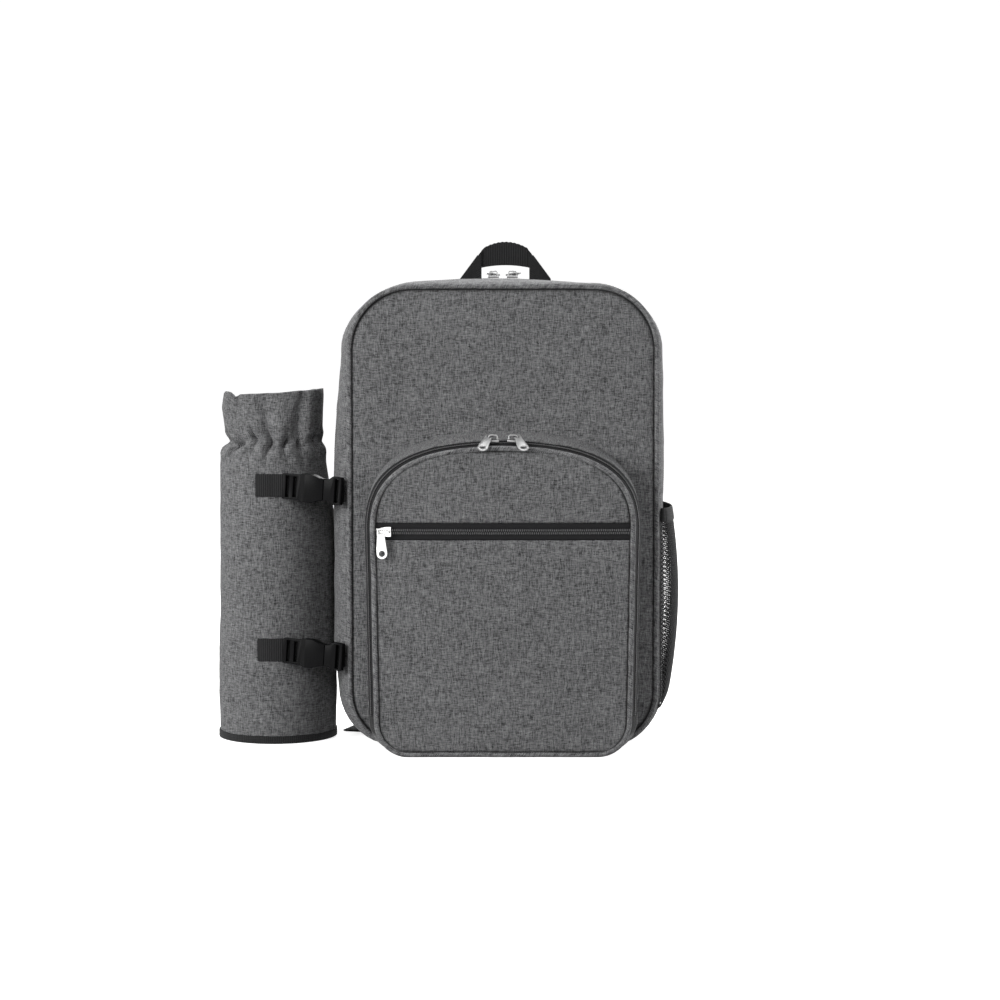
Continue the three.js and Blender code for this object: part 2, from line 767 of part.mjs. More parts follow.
// Drops the walls that neighbouring squares share, which lie on a line between two squares
function withoutSharedWalls(geometry, cellWidth, cellHeight) {
  const merged = mergeVertices(geometry, 1e-4);
  const position = merged.getAttribute("position");
  const near = (value, step, count) => {
    const line = Math.round(value / step);
    return line > 0 && line < count && Math.abs(value - line * step) < 1e-3 ? line : NaN;
  };
  const kept = [];
  for (let face = 0; face < merged.index.count; face += 3) {
    const at = [0, 1, 2].map((k) => merged.index.getX(face + k));
    const columns = at.map((i) => near(position.getX(i), cellWidth, netColumns));
    const rows = at.map((i) => near(position.getY(i), cellHeight, netRows));
    const isShared = [columns, rows].some((lines) => lines.every((line) => line === lines[0]));
    if (!isShared) kept.push(...at);
  }
  merged.setIndex(kept);
  return merged;
}

function netGeometry() {
  const height = netTop - bindingHeight - seamGap - netFoot;
  const cellWidth = netDepth / netColumns;
  const cellHeight = height / netRows;
  const tiles = [];
  for (let row = 0; row < netRows; row += 1) {
    for (let column = 0; column < netColumns; column += 1) {
      const tile = netTile(cellWidth, cellHeight);
      tile.deleteAttribute("normal");
      tile.deleteAttribute("uv");
      tiles.push(tile.translate(column * cellWidth, row * cellHeight, 0));
    }
  }
  const flat = withoutSharedWalls(mergeGeometries(tiles), cellWidth, cellHeight);
  return warped(flat, (point) => netPoint(point.x / netDepth, netFoot + point.y, point.z * netWall));
}
addPiece("mesh_net", netGeometry(), "net");
addPiece(
  "mesh_binding",
  warped(new THREE.BoxGeometry(1, 1, 1, 2 * netColumns, 1, 1), (point) =>
    netPoint(point.x + 0.5, netTop + (point.y - 0.5) * bindingHeight, (point.z + 0.5) * bindingWall),
  ),
  "webbing",
);

// Bottle holder: sections as shares of its height and radius, depth as a share of its own radius
const sleeveSections = [
  { up: 0, radius: 1, depth: 1, gather: 0, shift: 0 },
  { up: 0.03, radius: 1, depth: 1, gather: 0, shift: 0 },
  { up: 0.3, radius: 0.99, depth: 1, gather: 0, shift: 0 },
  { up: 0.6, radius: 0.985, depth: 1, gather: 0, shift: 0 },
  { up: 0.775, radius: 0.98, depth: 0.99, gather: 0, shift: 0 },
  { up: 0.812, radius: 0.94, depth: 0.98, gather: 0.25, shift: -0.04 },
  { up: 0.845, radius: 0.87, depth: 0.93, gather: 1, shift: -0.035 },
  { up: 0.872, radius: 0.865, depth: 0.88, gather: 1, shift: -0.04 },
  { up: 0.91, radius: 0.875, depth: 0.84, gather: 0.35, shift: -0.045 },
  { up: 0.955, radius: 0.895, depth: 0.8, gather: 0.1, shift: -0.05 },
  { up: 1, radius: 0.9, depth: 0.76, gather: 0, shift: -0.05 },
];
const sleeveSides = 3 * gatherCount;

function sleeveSectionAt(up) {
  const next = Math.max(1, sleeveSections.findIndex((section) => section.up >= up - 1e-9));
  const low = sleeveSections[next - 1];
  const high = sleeveSections[next];
  const share = Math.min(1, Math.max(0, (up - low.up) / (high.up - low.up)));
  const between = {};
  for (const column of Object.keys(low)) between[column] = mix(low[column], high[column], share);
  return between;
}

function sleeveGeometry() {
  const floor = sleeveWall / sleeveHeight;
  const outer = sleeveSections.map((section) => new THREE.Vector2(sleeveRadius, section.up));
  const inner = sleeveSections
    .filter((section) => section.up > floor)
    .map((section) => new THREE.Vector2(sleeveRadius - sleeveWall, section.up))
    .reverse();
  const profile = [
    new THREE.Vector2(0, 0),
    ...outer,
    ...inner,
    new THREE.Vector2(sleeveRadius - sleeveWall, floor),
    new THREE.Vector2(0, floor),
  ];
  return warped(new THREE.LatheGeometry(profile, sleeveSides), (point) => {
    const up = point.y;
    const section = sleeveSectionAt(up);
    const reach = Math.hypot(point.x, point.z);
    if (reach < 1e-6) return new THREE.Vector3(0, 0, up * sleeveHeight);
    const turn = Math.atan2(point.x, point.z);
    const inset = sleeveRadius - reach;
    const gather = gatherDepth * section.gather * Math.cos(gatherCount * turn);
    const radius = sleeveRadius * section.radius - inset + gather;
    const x = radius * Math.sin(turn) + section.shift * sleeveRadius;
    const y = -radius * section.depth * Math.cos(turn);
    const slantShare = Math.max(0, (up - collarFoot) / (1 - collarFoot));
    const slant = (collarSlant / 2) * slantShare * (x / sleeveRadius);
    return new THREE.Vector3(x, y, up * sleeveHeight + slant);
  }).translate(sleeveX, 0, 0);
}
addPiece("bottle_sleeve", sleeveGeometry(), "cloth");

function footBindingGeometry() {
  const inner = sleeveRadius + seamGap;
  const outer = inner + footBindingWall;
  const profile = [
    new THREE.Vector2(inner, 0),
    new THREE.Vector2(outer, 0),
    new THREE.Vector2(outer, footBindingHeight),
    new THREE.Vector2(inner, footBindingHeight),
    new THREE.Vector2(inner, 0),
  ];
  return closed(new THREE.LatheGeometry(profile, sleeveSides).rotateX(Math.PI / 2).translate(sleeveX, 0, 0));
}
addPiece("bottle_binding", footBindingGeometry(), "webbing");

// Strap and buckle, from the sleeve's front to the seam of the body's front edge
function sleeveRadiusAt(z) {
  return sleeveRadius * sleeveSectionAt(z / sleeveHeight).radius;
}

function slotAt(middle, halfHeight) {
  const slot = new THREE.Path();
  slot.moveTo(middle - slotWidth / 2, -halfHeight);
  slot.lineTo(middle - slotWidth / 2, halfHeight);
  slot.lineTo(middle + slotWidth / 2, halfHeight);
  slot.lineTo(middle + slotWidth / 2, -halfHeight);
  return slot;
}

// Outline symmetric about its X axis from a row of half widths along it
function symmetricPlan(rows) {
  const plan = new THREE.Shape();
  rows.forEach(({ at, half }, i) => (i ? plan.lineTo(at, -half) : plan.moveTo(at, -half)));
  [...rows].reverse().forEach(({ at, half }) => plan.lineTo(at, half));
  return plan;
}

// Plan cut to a side profile, both along X; its middle layer is at z 0
function profiled(plan, profile) {
  const tall = Math.max(...profile.map((row) => row.half));
  const wide = buckleWidth;
  const body = new THREE.ExtrudeGeometry(plan, { depth: 2 * tall, bevelEnabled: false });
  const cut = new THREE.ExtrudeGeometry(symmetricPlan(profile), { depth: 2 * wide, bevelEnabled: false });
  return shared(body.translate(0, 0, -tall), cut.rotateX(Math.PI / 2).translate(0, wide, 0));
}

const socketLength = buckleLength + ladderLength - clipLength - seamGap;
const slotHalf = webbingWidth / 2 + 0.4;

function socketGeometry() {
  const half = buckleWidth / 2;
  const plan = symmetricPlan([
    { at: 0, half: half * 0.88 },
    { at: ladderLength, half: half * 0.9 },
    { at: ladderLength + 2.5, half },
    { at: socketLength * 0.72, half },
    { at: socketLength * 0.9, half: half * 0.8 },
    { at: socketLength, half: half * 0.76 },
  ]);
  plan.holes.push(slotAt(ladderLength * 0.28, slotHalf * 0.92), slotAt(ladderLength * 0.7, slotHalf * 0.88));
  return profiled(plan, [
    { at: 0, half: ladderThickness / 2 },
    { at: ladderLength, half: ladderThickness / 2 },
    { at: ladderLength + 5, half: buckleThickness / 2 },
    { at: socketLength * 0.85, half: buckleThickness / 2 },
    { at: socketLength, half: buckleThickness * 0.38 },
  ]);
}

function clipGeometry() {
  const half = buckleWidth / 2;
  const start = socketLength + seamGap;
  const plan = symmetricPlan([
    { at: start, half: half * 0.74 },
    { at: start + clipLength * 0.3, half: half * 0.8 },
    { at: start + clipLength * 0.48, half },
    { at: start + clipLength, half: half * 0.96 },
  ]);
  plan.holes.push(slotAt(start + clipLength * 0.72, slotHalf));
  return profiled(plan, [
    { at: start, half: buckleThickness * 0.36 },
    { at: start + clipLength * 0.45, half: clipThickness / 2 },
    { at: start + clipLength, half: clipThickness / 2 },
  ]);
}

const bodyLeft = { x: -bodyWidth / 2, z: 0, nx: -1, nz: 0 };

function addStrap(word, height) {
  const surface = sleeveRadiusAt(height) + seamGap + webbingThickness / 2;
  const patchTurn = patchLength / surface;
  const patchEnd = patchTurn * 0.4;
  const onSleeve = (turn) =>
    new THREE.Vector3(sleeveX + surface * Math.sin(turn), -surface * Math.cos(turn), height);
  const start = onSleeve(patchEnd);
  const frontEdge = new THREE.Vector3(-bodyWidth / 2, frontPipingY - pipingRadius, height);
  const aim = frontEdge.clone().sub(start).setZ(0).normalize();
  const back = new THREE.Vector3(-aim.y, aim.x, 0);
  const ladderStand = (ladderThickness + webbingThickness) / 2 + seamGap;

  const patchPoints = [-0.6, -0.35, -0.1, 0.15, 0.4].map((share) => onSleeve(patchTurn * share));
  const tongue = [ladderLength * 0.35, ladderLength * 0.8].map((along) =>
    start.clone().addScaledVector(aim, along),
  );
  const up = new THREE.Vector3(0, 0, 1);
  const patch = stripAlong([...patchPoints, ...tongue], webbingWidth, webbingThickness, 10, up);
  addPiece(word + "_patch", patch, "webbing");

  const buckle = new THREE.Group();
  const origin = start.clone().addScaledVector(aim, ladderInset).addScaledVector(back, -ladderStand);
  buckle.position.copy(origin);
  buckle.rotation.set(0, 0, Math.atan2(aim.y, aim.x));
  const flat = new THREE.Group();
  flat.rotation.set(Math.PI / 2, 0, 0);
  const tilted = new THREE.Group();
  tilted.rotation.set(0, 0, (-strapTilt * Math.PI) / 180);
  buckle.add(flat);
  flat.add(tilted);
  backpack.add(buckle);
  addPiece(word + "_buckle_socket", closed(socketGeometry()), "plastic", tilted);
  addPiece(word + "_buckle_clip", closed(clipGeometry()), "plastic", tilted);

  const behindClip = (clipThickness + webbingThickness) / 2 + 2 * seamGap;
  const drop = -Math.tan((strapTilt * Math.PI) / 180) * (socketLength + clipLength);
  const underClip = [0.35, 0.8].map((share) =>
    origin
      .clone()
      .addScaledVector(aim, socketLength + clipLength * share)
      .addScaledVector(back, behindClip)
      .setZ(height + drop),
  );
  const alongSide = [0.35, 1].map((share) => {
    const y = gussetFrontY + tabReach * share;
    return bodySide(bodyLeft, y, 1, 2 * seamGap + webbingThickness / 2).setZ(height + drop);
  });
  const tab = stripAlong([...underClip, ...alongSide], webbingWidth, webbingThickness, 8, up);
  addPiece(word + "_tab", tab, "webbing");
}
addStrap("upper", upperStrapHeight);
addStrap("lower", lowerStrapHeight);

const strapCells = 14; // along a shoulder strap's curve

// Shoulder straps: rows from the top down, up as a share of the body's height, off as a share of the strap's
// reach behind the back, out as a share of the straps' spread
const shoulderRows = [
  { up: 0.94, off: 0, out: 0.5 },
  { up: 0.87, off: 0.22, out: 0.52 },
  { up: 0.74, off: 0.78, out: 0.58 },
  { up: 0.58, off: 1, out: 0.68 },
  { up: 0.43, off: 0.8, out: 0.82 },
  { up: 0.33, off: 0.4, out: 0.95 },
];
const webbingRows = [
  { up: 0.15, off: 0.16, out: 1.08 },
  { up: 0.03, off: 0.012, out: 1.18 },
];
// Loose ends: ahead is a share of the body's depth in front of its back face
const tailRows = {
  left: [
    { up: 0.12, out: 1.07, ahead: -0.19 },
    { up: 0.025, out: 1.14, ahead: -0.15 },
    { up: 0.003, out: 1.19, ahead: -0.08 },
    { up: 0, out: 1.24, ahead: 0 },
    { up: 0, out: 1.33, ahead: 0.2 },
    { up: 0, out: 1.42, ahead: 0.4 },
  ],
  right: [
    { up: 0.12, out: 1.05, ahead: -0.21 },
    { up: 0.025, out: 1.02, ahead: -0.31 },
    { up: 0.003, out: 1.03, ahead: -0.37 },
    { up: 0, out: 1.04, ahead: -0.5 },
    { up: 0, out: 1.05, ahead: -0.62 },
  ],
};

for (const { word, sign } of sides) {
  const sideways = new THREE.Vector3(1, 0, 0);
  const backAt = (row, thickness) =>
    new THREE.Vector3(
      sign * row.out * shoulderStrapSpread,
      bodyBack + seamGap + thickness / 2 + row.off * shoulderStrapReach,
      row.up * bodyHeight,
    );
  const padded = shoulderRows.map((row) => backAt(row, shoulderStrapThickness));
  const strap = stripAlong(padded, shoulderStrapWidth, shoulderStrapThickness, strapCells, sideways);
  addPiece("shoulder_strap_" + word, strap, "cloth");

  const strapEnd = padded.at(-1);
  const fall = strapEnd.clone().sub(padded.at(-2)).normalize();
  const adjuster = new THREE.Group();
  adjuster.position.copy(strapEnd).addScaledVector(fall, 2 * seamGap + adjusterLength / 2);
  adjuster.quaternion.setFromUnitVectors(new THREE.Vector3(0, 0, -1), fall);
  addPiece(
    "strap_adjuster_" + word,
    closed(new THREE.BoxGeometry(adjusterWidth, adjusterThickness, adjusterLength)),
    "plastic",
    adjuster,
  );
  backpack.add(adjuster);

  const adjusterFoot = strapEnd.clone().addScaledVector(fall, 4 * seamGap + adjusterLength);
  const lower = webbingRows.map((row) => backAt(row, pipingProud * 2 + webbingThickness));
  const leaving = adjusterFoot.clone().addScaledVector(fall, webbingThickness);
  const webbing = stripAlong([adjusterFoot, leaving, ...lower], webbingWidth, webbingThickness, 8, sideways);
  addPiece("strap_webbing_" + word, webbing, "webbing");

  const rearward = new THREE.Vector3(0, 1, 0);
  const beside = rearward.addScaledVector(fall, -fall.y).setLength(webbingThickness + 2 * seamGap);
  const onFloor = tailRows[word].map(
    (row) =>
      new THREE.Vector3(
        sign * row.out * shoulderStrapSpread,
        bodyBack - row.ahead * bodyDepth,
        row.up * bodyHeight + webbingThickness / 2 + seamGap,
      ),
  );
  const tail = [adjusterFoot.clone().add(beside), leaving.clone().add(beside), ...onFloor];
  addPiece("strap_tail_" + word, stripAlong(tail, webbingWidth, webbingThickness, 12, sideways), "webbing");
}

export default backpack;
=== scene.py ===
import math

import bmesh
import bpy
from mathutils import Matrix, Vector, noise


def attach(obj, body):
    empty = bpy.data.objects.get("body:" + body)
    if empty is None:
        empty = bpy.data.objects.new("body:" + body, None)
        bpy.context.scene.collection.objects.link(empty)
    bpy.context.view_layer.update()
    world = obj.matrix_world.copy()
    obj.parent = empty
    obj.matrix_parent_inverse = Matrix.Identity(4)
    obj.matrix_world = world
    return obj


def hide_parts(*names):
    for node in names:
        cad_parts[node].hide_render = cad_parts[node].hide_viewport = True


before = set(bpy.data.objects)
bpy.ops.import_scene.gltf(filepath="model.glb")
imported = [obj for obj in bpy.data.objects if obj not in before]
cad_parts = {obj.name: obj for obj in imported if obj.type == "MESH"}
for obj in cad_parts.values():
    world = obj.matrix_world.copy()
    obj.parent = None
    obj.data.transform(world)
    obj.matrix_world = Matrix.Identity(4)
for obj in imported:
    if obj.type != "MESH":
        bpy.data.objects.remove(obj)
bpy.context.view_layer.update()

mm = 0.001
scene = bpy.context.scene

# ---- camera first, then the room ----
cameraSet = {"place": (-0.0026, -2.07, 0.339), "tilt": 86.52, "lens": 82.8}

camera = bpy.data.objects.new("camera", bpy.data.cameras.new("camera"))
camera.data.sensor_width = 36
camera.data.lens = cameraSet["lens"]
camera.data.clip_end = 30
camera.location = cameraSet["place"]
camera.rotation_euler = (math.radians(cameraSet["tilt"]), 0, 0)
scene.collection.objects.link(camera)
scene.camera = camera
print("camera set")


def mix(start, end, share):
    return start + (end - start) * share


def clamp(value, low=0.0, high=1.0):
    return max(low, min(high, value))


def hump(value, middle, width):
    return math.exp(-(((value - middle) / width) ** 2))


def bend(value, power):
    return math.copysign(abs(value) ** power, value)


def waver(x, y, z, size, seed):
    return noise.noise(Vector((x / size + seed, y / size, z / size)))


# ---- materials ----
class Wire:
    def __init__(self, finish, socket):
        self.finish, self.socket = finish, socket

    def maths(self, operation, other=0.0, swapped=False):
        first, second = (other, self) if swapped else (self, other)
        return self.finish.add("ShaderNodeMath", {"operation": operation}, {0: first, 1: second})

    def __add__(self, other):
        return self.maths("ADD", other)

    def __sub__(self, other):
        return self.maths("SUBTRACT", other)

    def __rsub__(self, other):
        return self.maths("SUBTRACT", other, swapped=True)

    def __mul__(self, other):
        return self.maths("MULTIPLY", other)

    def __truediv__(self, other):
        return self.maths("DIVIDE", other)

    def __mod__(self, other):
        return self.maths("MODULO", other)

    def __gt__(self, other):
        return self.maths("GREATER_THAN", other)

    __radd__ = __add__
    __rmul__ = __mul__

    def floor(self):
        return self.maths("FLOOR")

    def wave(self):
        return self.maths("SINE")

    def size(self):
        return self.maths("ABSOLUTE")


class Finish:
    def __init__(self, name, **flat):
        self.material = bpy.data.materials.new(name)
        self.material.use_nodes = True
        self.tree = self.material.node_tree
        self.shader = self.tree.nodes["Principled BSDF"]
        self.set(**flat)

    def feed(self, socket, value):
        if isinstance(value, Wire):
            self.tree.links.new(value.socket, socket)
        elif hasattr(value, "__len__") and len(value) == 3 and socket.type == "RGBA":
            socket.default_value = (*value, 1)
        else:
            socket.default_value = value

    def add(self, kind, settings, values, out=0):
        node = self.tree.nodes.new(kind)
        for key, value in settings.items():
            if key == "stops":
                for stop, (place, tone) in zip(self.stopsOf(node, len(value)), value):
                    stop.position, stop.color = place, (tone, tone, tone, 1)
            else:
                setattr(node, key, value)
        for key, value in values.items():
            self.feed(node.inputs[key], value)
        return Wire(self, node.outputs[out])

    def stopsOf(self, node, count):
        stops = node.color_ramp.elements
        while len(stops) < count:
            stops.new(0.5)
        return stops

    def set(self, **values):
        for key, value in values.items():
            self.feed(self.shader.inputs[key.replace("_", " ")], value)

    def tint(self, factor, first, second):
        node = {"data_type": "RGBA"}
        return self.add("ShaderNodeMix", node, {0: factor, 6: first, 7: second}, out=2)

    def noiseAt(self, vector, scale, detail=2.0, rough=0.5):
        values = {"Vector": vector, "Scale": scale, "Detail": detail, "Roughness": rough}
        return self.add("ShaderNodeTexNoise", {}, values)

    def vectorOf(self, x, y, z=0.0):
        return self.add("ShaderNodeCombineXYZ", {}, {0: x, 1: y, 2: z})

    def clothPlace(self):
        node = self.tree.nodes.new("ShaderNodeUVMap")
        node.uv_map = "cloth"
        parts = self.tree.nodes.new("ShaderNodeSeparateXYZ")
        self.tree.links.new(node.outputs[0], parts.inputs[0])
        return Wire(self, parts.outputs[0]), Wire(self, parts.outputs[1])

    def objectPlace(self):
        node = self.tree.nodes.new("ShaderNodeTexCoord")
        return Wire(self, node.outputs["Object"])

    def relief(self, height, strength, distance):
        values = {"Height": height, "Strength": strength, "Distance": distance}
        self.set(Normal=self.add("ShaderNodeBump", {}, values))


melangeSet = {
    "pitch": 0.58 * mm,  # between two yarns
    "slub": 5.4 * mm,  # length of a light or dark stretch of yarn
    "dark": (0.028, 0.028, 0.029),
    "light": (0.262, 0.263, 0.267),
    "patch": 0.08,  # share of the tone that drifts over the cloth
    "seamShadeAndTape": 0.92,  # how dark the painted shade makes the cloth along its seams, and the zip tape's tone painted on the pocket base
}


def melange(name, gain=1.0):
    made = Finish(name, Roughness=0.95, Specular_IOR_Level=0.1, Sheen_Weight=0.1, Sheen_Roughness=0.5)
    along, across = made.clothPlace()
    pitch, slub = melangeSet["pitch"], melangeSet["slub"]
    column, row = (along / pitch).floor(), (across / pitch).floor()
    warp = made.noiseAt(made.vectorOf(column * 3.17, across / slub, 1.3), 1.0, 1.5)
    weft = made.noiseAt(made.vectorOf(along / slub, row * 3.17, 7.9), 1.0, 1.5)
    over = ((column + row) * 0.5) % 1.0
    isOver = over.size() > 0.25
    yarn = warp * isOver + weft * (1 - isOver)
    drift = made.noiseAt(made.vectorOf(along / (40 * mm), across / (40 * mm), 3.1), 1.0, 2.0)
    tone = made.add("ShaderNodeValToRGB", {"stops": [(0.34, 0.0), (0.5, 0.42), (0.7, 1.0)]}, {0: yarn})
    share = tone + (drift - 0.5) * melangeSet["patch"]
    dark = [gain * part for part in melangeSet["dark"]]
    light = [gain * part for part in melangeSet["light"]]
    # painted shade: the vertex attribute seam darkens the cloth toward near black along seams and grooves by
    # the piping; on the pocket base it also paints the zip tape's dark tone
    seamShadeAndTape = made.add("ShaderNodeAttribute", {"attribute_name": "seam"}, {}, out=2)
    paintedDarkening = (seamShadeAndTape * seamShadeAndTape).maths("MINIMUM", 1.0) * melangeSet["seamShadeAndTape"]
    made.set(Base_Color=made.tint(paintedDarkening, made.tint(share, dark, light), (0.003, 0.003, 0.003)))
    hill = (along * (math.pi / pitch)).wave().size() * isOver
    vale = (across * (math.pi / pitch)).wave().size() * (1 - isOver)
    made.relief(hill + vale, 0.35, 0.12 * mm)
    return made.material


webbingSet = {
    "rib": 1.9 * mm, "thread": 0.9 * mm,
    "dark": (0.003, 0.003, 0.0032), "light": (0.027, 0.027, 0.028),
}


def ribbed(name):
    made = Finish(name, Roughness=0.8, Specular_IOR_Level=0.2)
    along, across = made.clothPlace()
    rib = (along * (math.pi / webbingSet["rib"])).wave().size()
    thread = (across * (math.pi / webbingSet["thread"])).wave().size()
    fuzz = made.noiseAt(made.vectorOf(along / (1.3 * mm), across / (0.6 * mm), 2.0), 1.0, 2.0)
    share = rib * (0.45 + thread * 0.4) + fuzz * 0.7 - 0.4
    made.set(Base_Color=made.tint(share, webbingSet["dark"], webbingSet["light"]))
    made.relief(rib + thread * 0.3, 0.8, 0.4 * mm)
    return made.material


def tapeCloth(name):
    made = Finish(name, Roughness=0.85, Specular_IOR_Level=0.15)
    along, across = made.clothPlace()
    twill = ((along + across) * (math.pi / (0.9 * mm))).wave().size()
    fuzz = made.noiseAt(made.objectPlace(), 700.0, 2.0)
    made.set(Base_Color=made.tint(twill * 0.5 + fuzz * 0.5, (0.004, 0.004, 0.0043), (0.017, 0.017, 0.018)))
    made.relief(twill, 0.4, 0.12 * mm)
    return made.material


def nylon(name, dark, light, rough, shine=0.4):
    made = Finish(name, Specular_IOR_Level=shine)
    grain = made.noiseAt(made.objectPlace(), 900.0, 3.0)
    made.set(Base_Color=made.tint(grain, dark, light), Roughness=grain * 0.16 + (rough - 0.08))
    made.relief(grain, 0.12, 0.05 * mm)
    return made.material


def plated(name, tone, rough):
    made = Finish(name, Metallic=1.0)
    smear = made.noiseAt(made.objectPlace(), 220.0, 4.0, 0.65)
    fine = made.noiseAt(made.objectPlace(), 1500.0, 2.0)
    dim, bright = [part * 0.8 for part in tone], [min(1, part * 1.12) for part in tone]
    made.set(Base_Color=made.tint(smear, dim, bright), Roughness=smear * 0.2 + (rough - 0.1))
    made.relief(fine, 0.08, 0.04 * mm)
    return made.material


def foilCloth(name):
    made = Finish(name, Metallic=0.75, Specular_IOR_Level=0.5)
    crease = made.noiseAt(made.objectPlace(), 60.0, 5.0, 0.6)
    made.set(Base_Color=made.tint(crease, (0.42, 0.43, 0.44), (0.72, 0.73, 0.74)))
    made.set(Roughness=crease * 0.3 + 0.2)
    made.relief(crease, 0.5, 0.8 * mm)
    return made.material


finishes = {
    "cloth": melange("melange cloth"),
    "panel": melange("panel cloth", 1.02),
    # painted light: the piping cloth is a lighter copy of the melange, standing in for the light that the
    # round piping catches
    "piping": melange("piping cloth", 1.12),
    "webbing": ribbed("black webbing"),
    "tape": tapeCloth("zip tape"),
    "coil": nylon("zip coil", (0.03, 0.03, 0.031), (0.09, 0.09, 0.092), 0.3, 0.8),
    "plastic": nylon("buckle plastic", (0.0035, 0.0035, 0.0038), (0.006, 0.006, 0.0063), 0.36, 0.04),
    "net": nylon("net yarn", (0.004, 0.004, 0.0045), (0.016, 0.016, 0.017), 0.6, 0.2),
    "nickel": plated("bright nickel", (0.78, 0.78, 0.77), 0.26),
    "darkNickel": plated("grey nickel", (0.36, 0.36, 0.36), 0.42),
    "foil": foilCloth("foil lining"),
}
print("materials made")


# ---- making pieces ----
def pieceFrom(name, mesh, finish, nodes, smooth=True):
    data = bpy.data.meshes.new(name)
    mesh.to_mesh(data)
    mesh.free()
    piece = bpy.data.objects.new(name, data)
    scene.collection.objects.link(piece)
    for word in finish.split():
        data.materials.append(finishes[word])
    data.shade_smooth() if smooth else data.shade_flat()
    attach(piece, "root")
    if nodes:
        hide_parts(*nodes)
    return piece


def sheetMesh(along, across, place, uvAt, weld=True, flip=False, shadeAndTapeAt=lambda u, v: 0.0):
    mesh = bmesh.new()
    bmesh.ops.create_grid(mesh, x_segments=along, y_segments=across, size=0.5)
    uv = mesh.loops.layers.uv.new("cloth")
    for face in mesh.faces:
        for corner in face.loops:
            u, v = uvAt(corner.vert.co.x + 0.5, corner.vert.co.y + 0.5)
            corner[uv].uv = (u * mm, v * mm)
    # painted shade: each vertex gets how deep the painted seam shade is there (on the pocket base also the
    # zip tape's tone), which the cloth finishes read as the attribute seam
    shadeAndTapeLayer = mesh.verts.layers.float.new("seam")
    for vert in mesh.verts:
        u, v = vert.co.x + 0.5, vert.co.y + 0.5
        vert[shadeAndTapeLayer] = clamp(shadeAndTapeAt(u, v), 0, 1.5)
        vert.co = place(u, v) * mm
    if flip:
        bmesh.ops.reverse_faces(mesh, faces=mesh.faces)
    if weld:
        bmesh.ops.remove_doubles(mesh, verts=mesh.verts, dist=0.002 * mm)
    return mesh


def closeEnds(mesh):
    bmesh.ops.holes_fill(mesh, edges=[edge for edge in mesh.edges if edge.is_boundary], sides=0)
    bmesh.ops.recalc_face_normals(mesh, faces=mesh.faces)
    return mesh


def giveWall(piece, thickness, inner=0):
    wall = piece.modifiers.new("wall", "SOLIDIFY")
    wall.thickness = thickness * mm
    wall.offset = -1
    wall.material_offset = inner
    return piece


def outlineOf(sizes, cuts):
    footHalf, shoulderHalf, height = sizes["footHalf"], sizes["shoulderHalf"], sizes["height"]
    radius, run, rise, full = sizes["footRadius"], sizes["run"], sizes["rise"], sizes["fullness"]
    spring = height - rise
    splitHalf = mix(footHalf, shoulderHalf, (sizes["split"] - radius) / (spring - radius))
    right = [(0, 0)]

    def line(end, count):
        x, z = right[-1]
        right.extend((mix(x, end[0], i / count), mix(z, end[1], i / count)) for i in range(1, count + 1))

    line((footHalf - radius, 0), cuts["foot"])
    for i in range(1, cuts["corner"] + 1):
        turn = math.pi / 2 * i / cuts["corner"]
        right.append((footHalf - radius + radius * math.sin(turn), radius - radius * math.cos(turn)))
    line((splitHalf, sizes["split"]), cuts["lower"])
    line((shoulderHalf, spring), cuts["upper"])
    knots = [
        (shoulderHalf, spring),
        (shoulderHalf, spring + rise * full),
        (shoulderHalf - run * (1 - full), height),
        (shoulderHalf - run, height),
    ]
    for i in range(1, cuts["shoulder"] + 1):
        t = i / cuts["shoulder"]
        shares = ((1 - t) ** 3, 3 * t * (1 - t) ** 2, 3 * t * t * (1 - t), t**3)
        right.append(tuple(sum(s * knot[k] for s, knot in zip(shares, knots)) for k in (0, 1)))
    if run < shoulderHalf:
        line((0, height), cuts["crown"])
    points = right + [(-x, z) for x, z in right[-2:0:-1]]
    stations, gone = [], 0.0
    for i, (x, z) in enumerate(points):
        before, after = points[i - 1], points[(i + 1) % len(points)]
        along = Vector((after[0] - before[0], after[1] - before[1])).normalized()
        if i:
            gone += math.hypot(x - before[0], z - before[1])
        stations.append({"x": x, "z": z, "nx": along.y, "nz": -along.x, "run": gone, "index": i})
    return stations


def offsetPoint(station, offset, y):
    return Vector((station["x"] + station["nx"] * offset, y, station["z"] + station["nz"] * offset))


def overTop(stations, height):
    return [station for station in stations if station["z"] > height - 0.1]


def underFoot(stations, height):
    low = [station["z"] < height + 0.1 for station in stations]
    first = low.index(False)
    turned = stations[first:] + stations[:first]
    return [station for station in turned if station["z"] < height + 0.1]


def bandPiece(name, stations, fromY, toY, cells, side, finish, nodes, wall):
    last = len(stations) - 1

    def place(u, v):
        return side(stations[round(u * last)], mix(fromY, toY, v))

    def uvAt(u, v):
        return stations[0]["run"] + u * last * runStep, mix(fromY, toY, v)

    runStep = sum(
        math.hypot(b["x"] - a["x"], b["z"] - a["z"]) for a, b in zip(stations, stations[1:])
    ) / last
    # painted shade: the band is darkened along its edges, where it runs in under the piping
    def shadeAndTapeAt(u, v):
        y = mix(fromY, toY, v)
        return 1.3 - min(y - gussetFront + tuck, gussetRear + tuck - y) / 3.6

    mesh = sheetMesh(last, cells, place, uvAt, flip=True, shadeAndTapeAt=shadeAndTapeAt)
    return giveWall(pieceFrom(name, mesh, finish, nodes), wall)


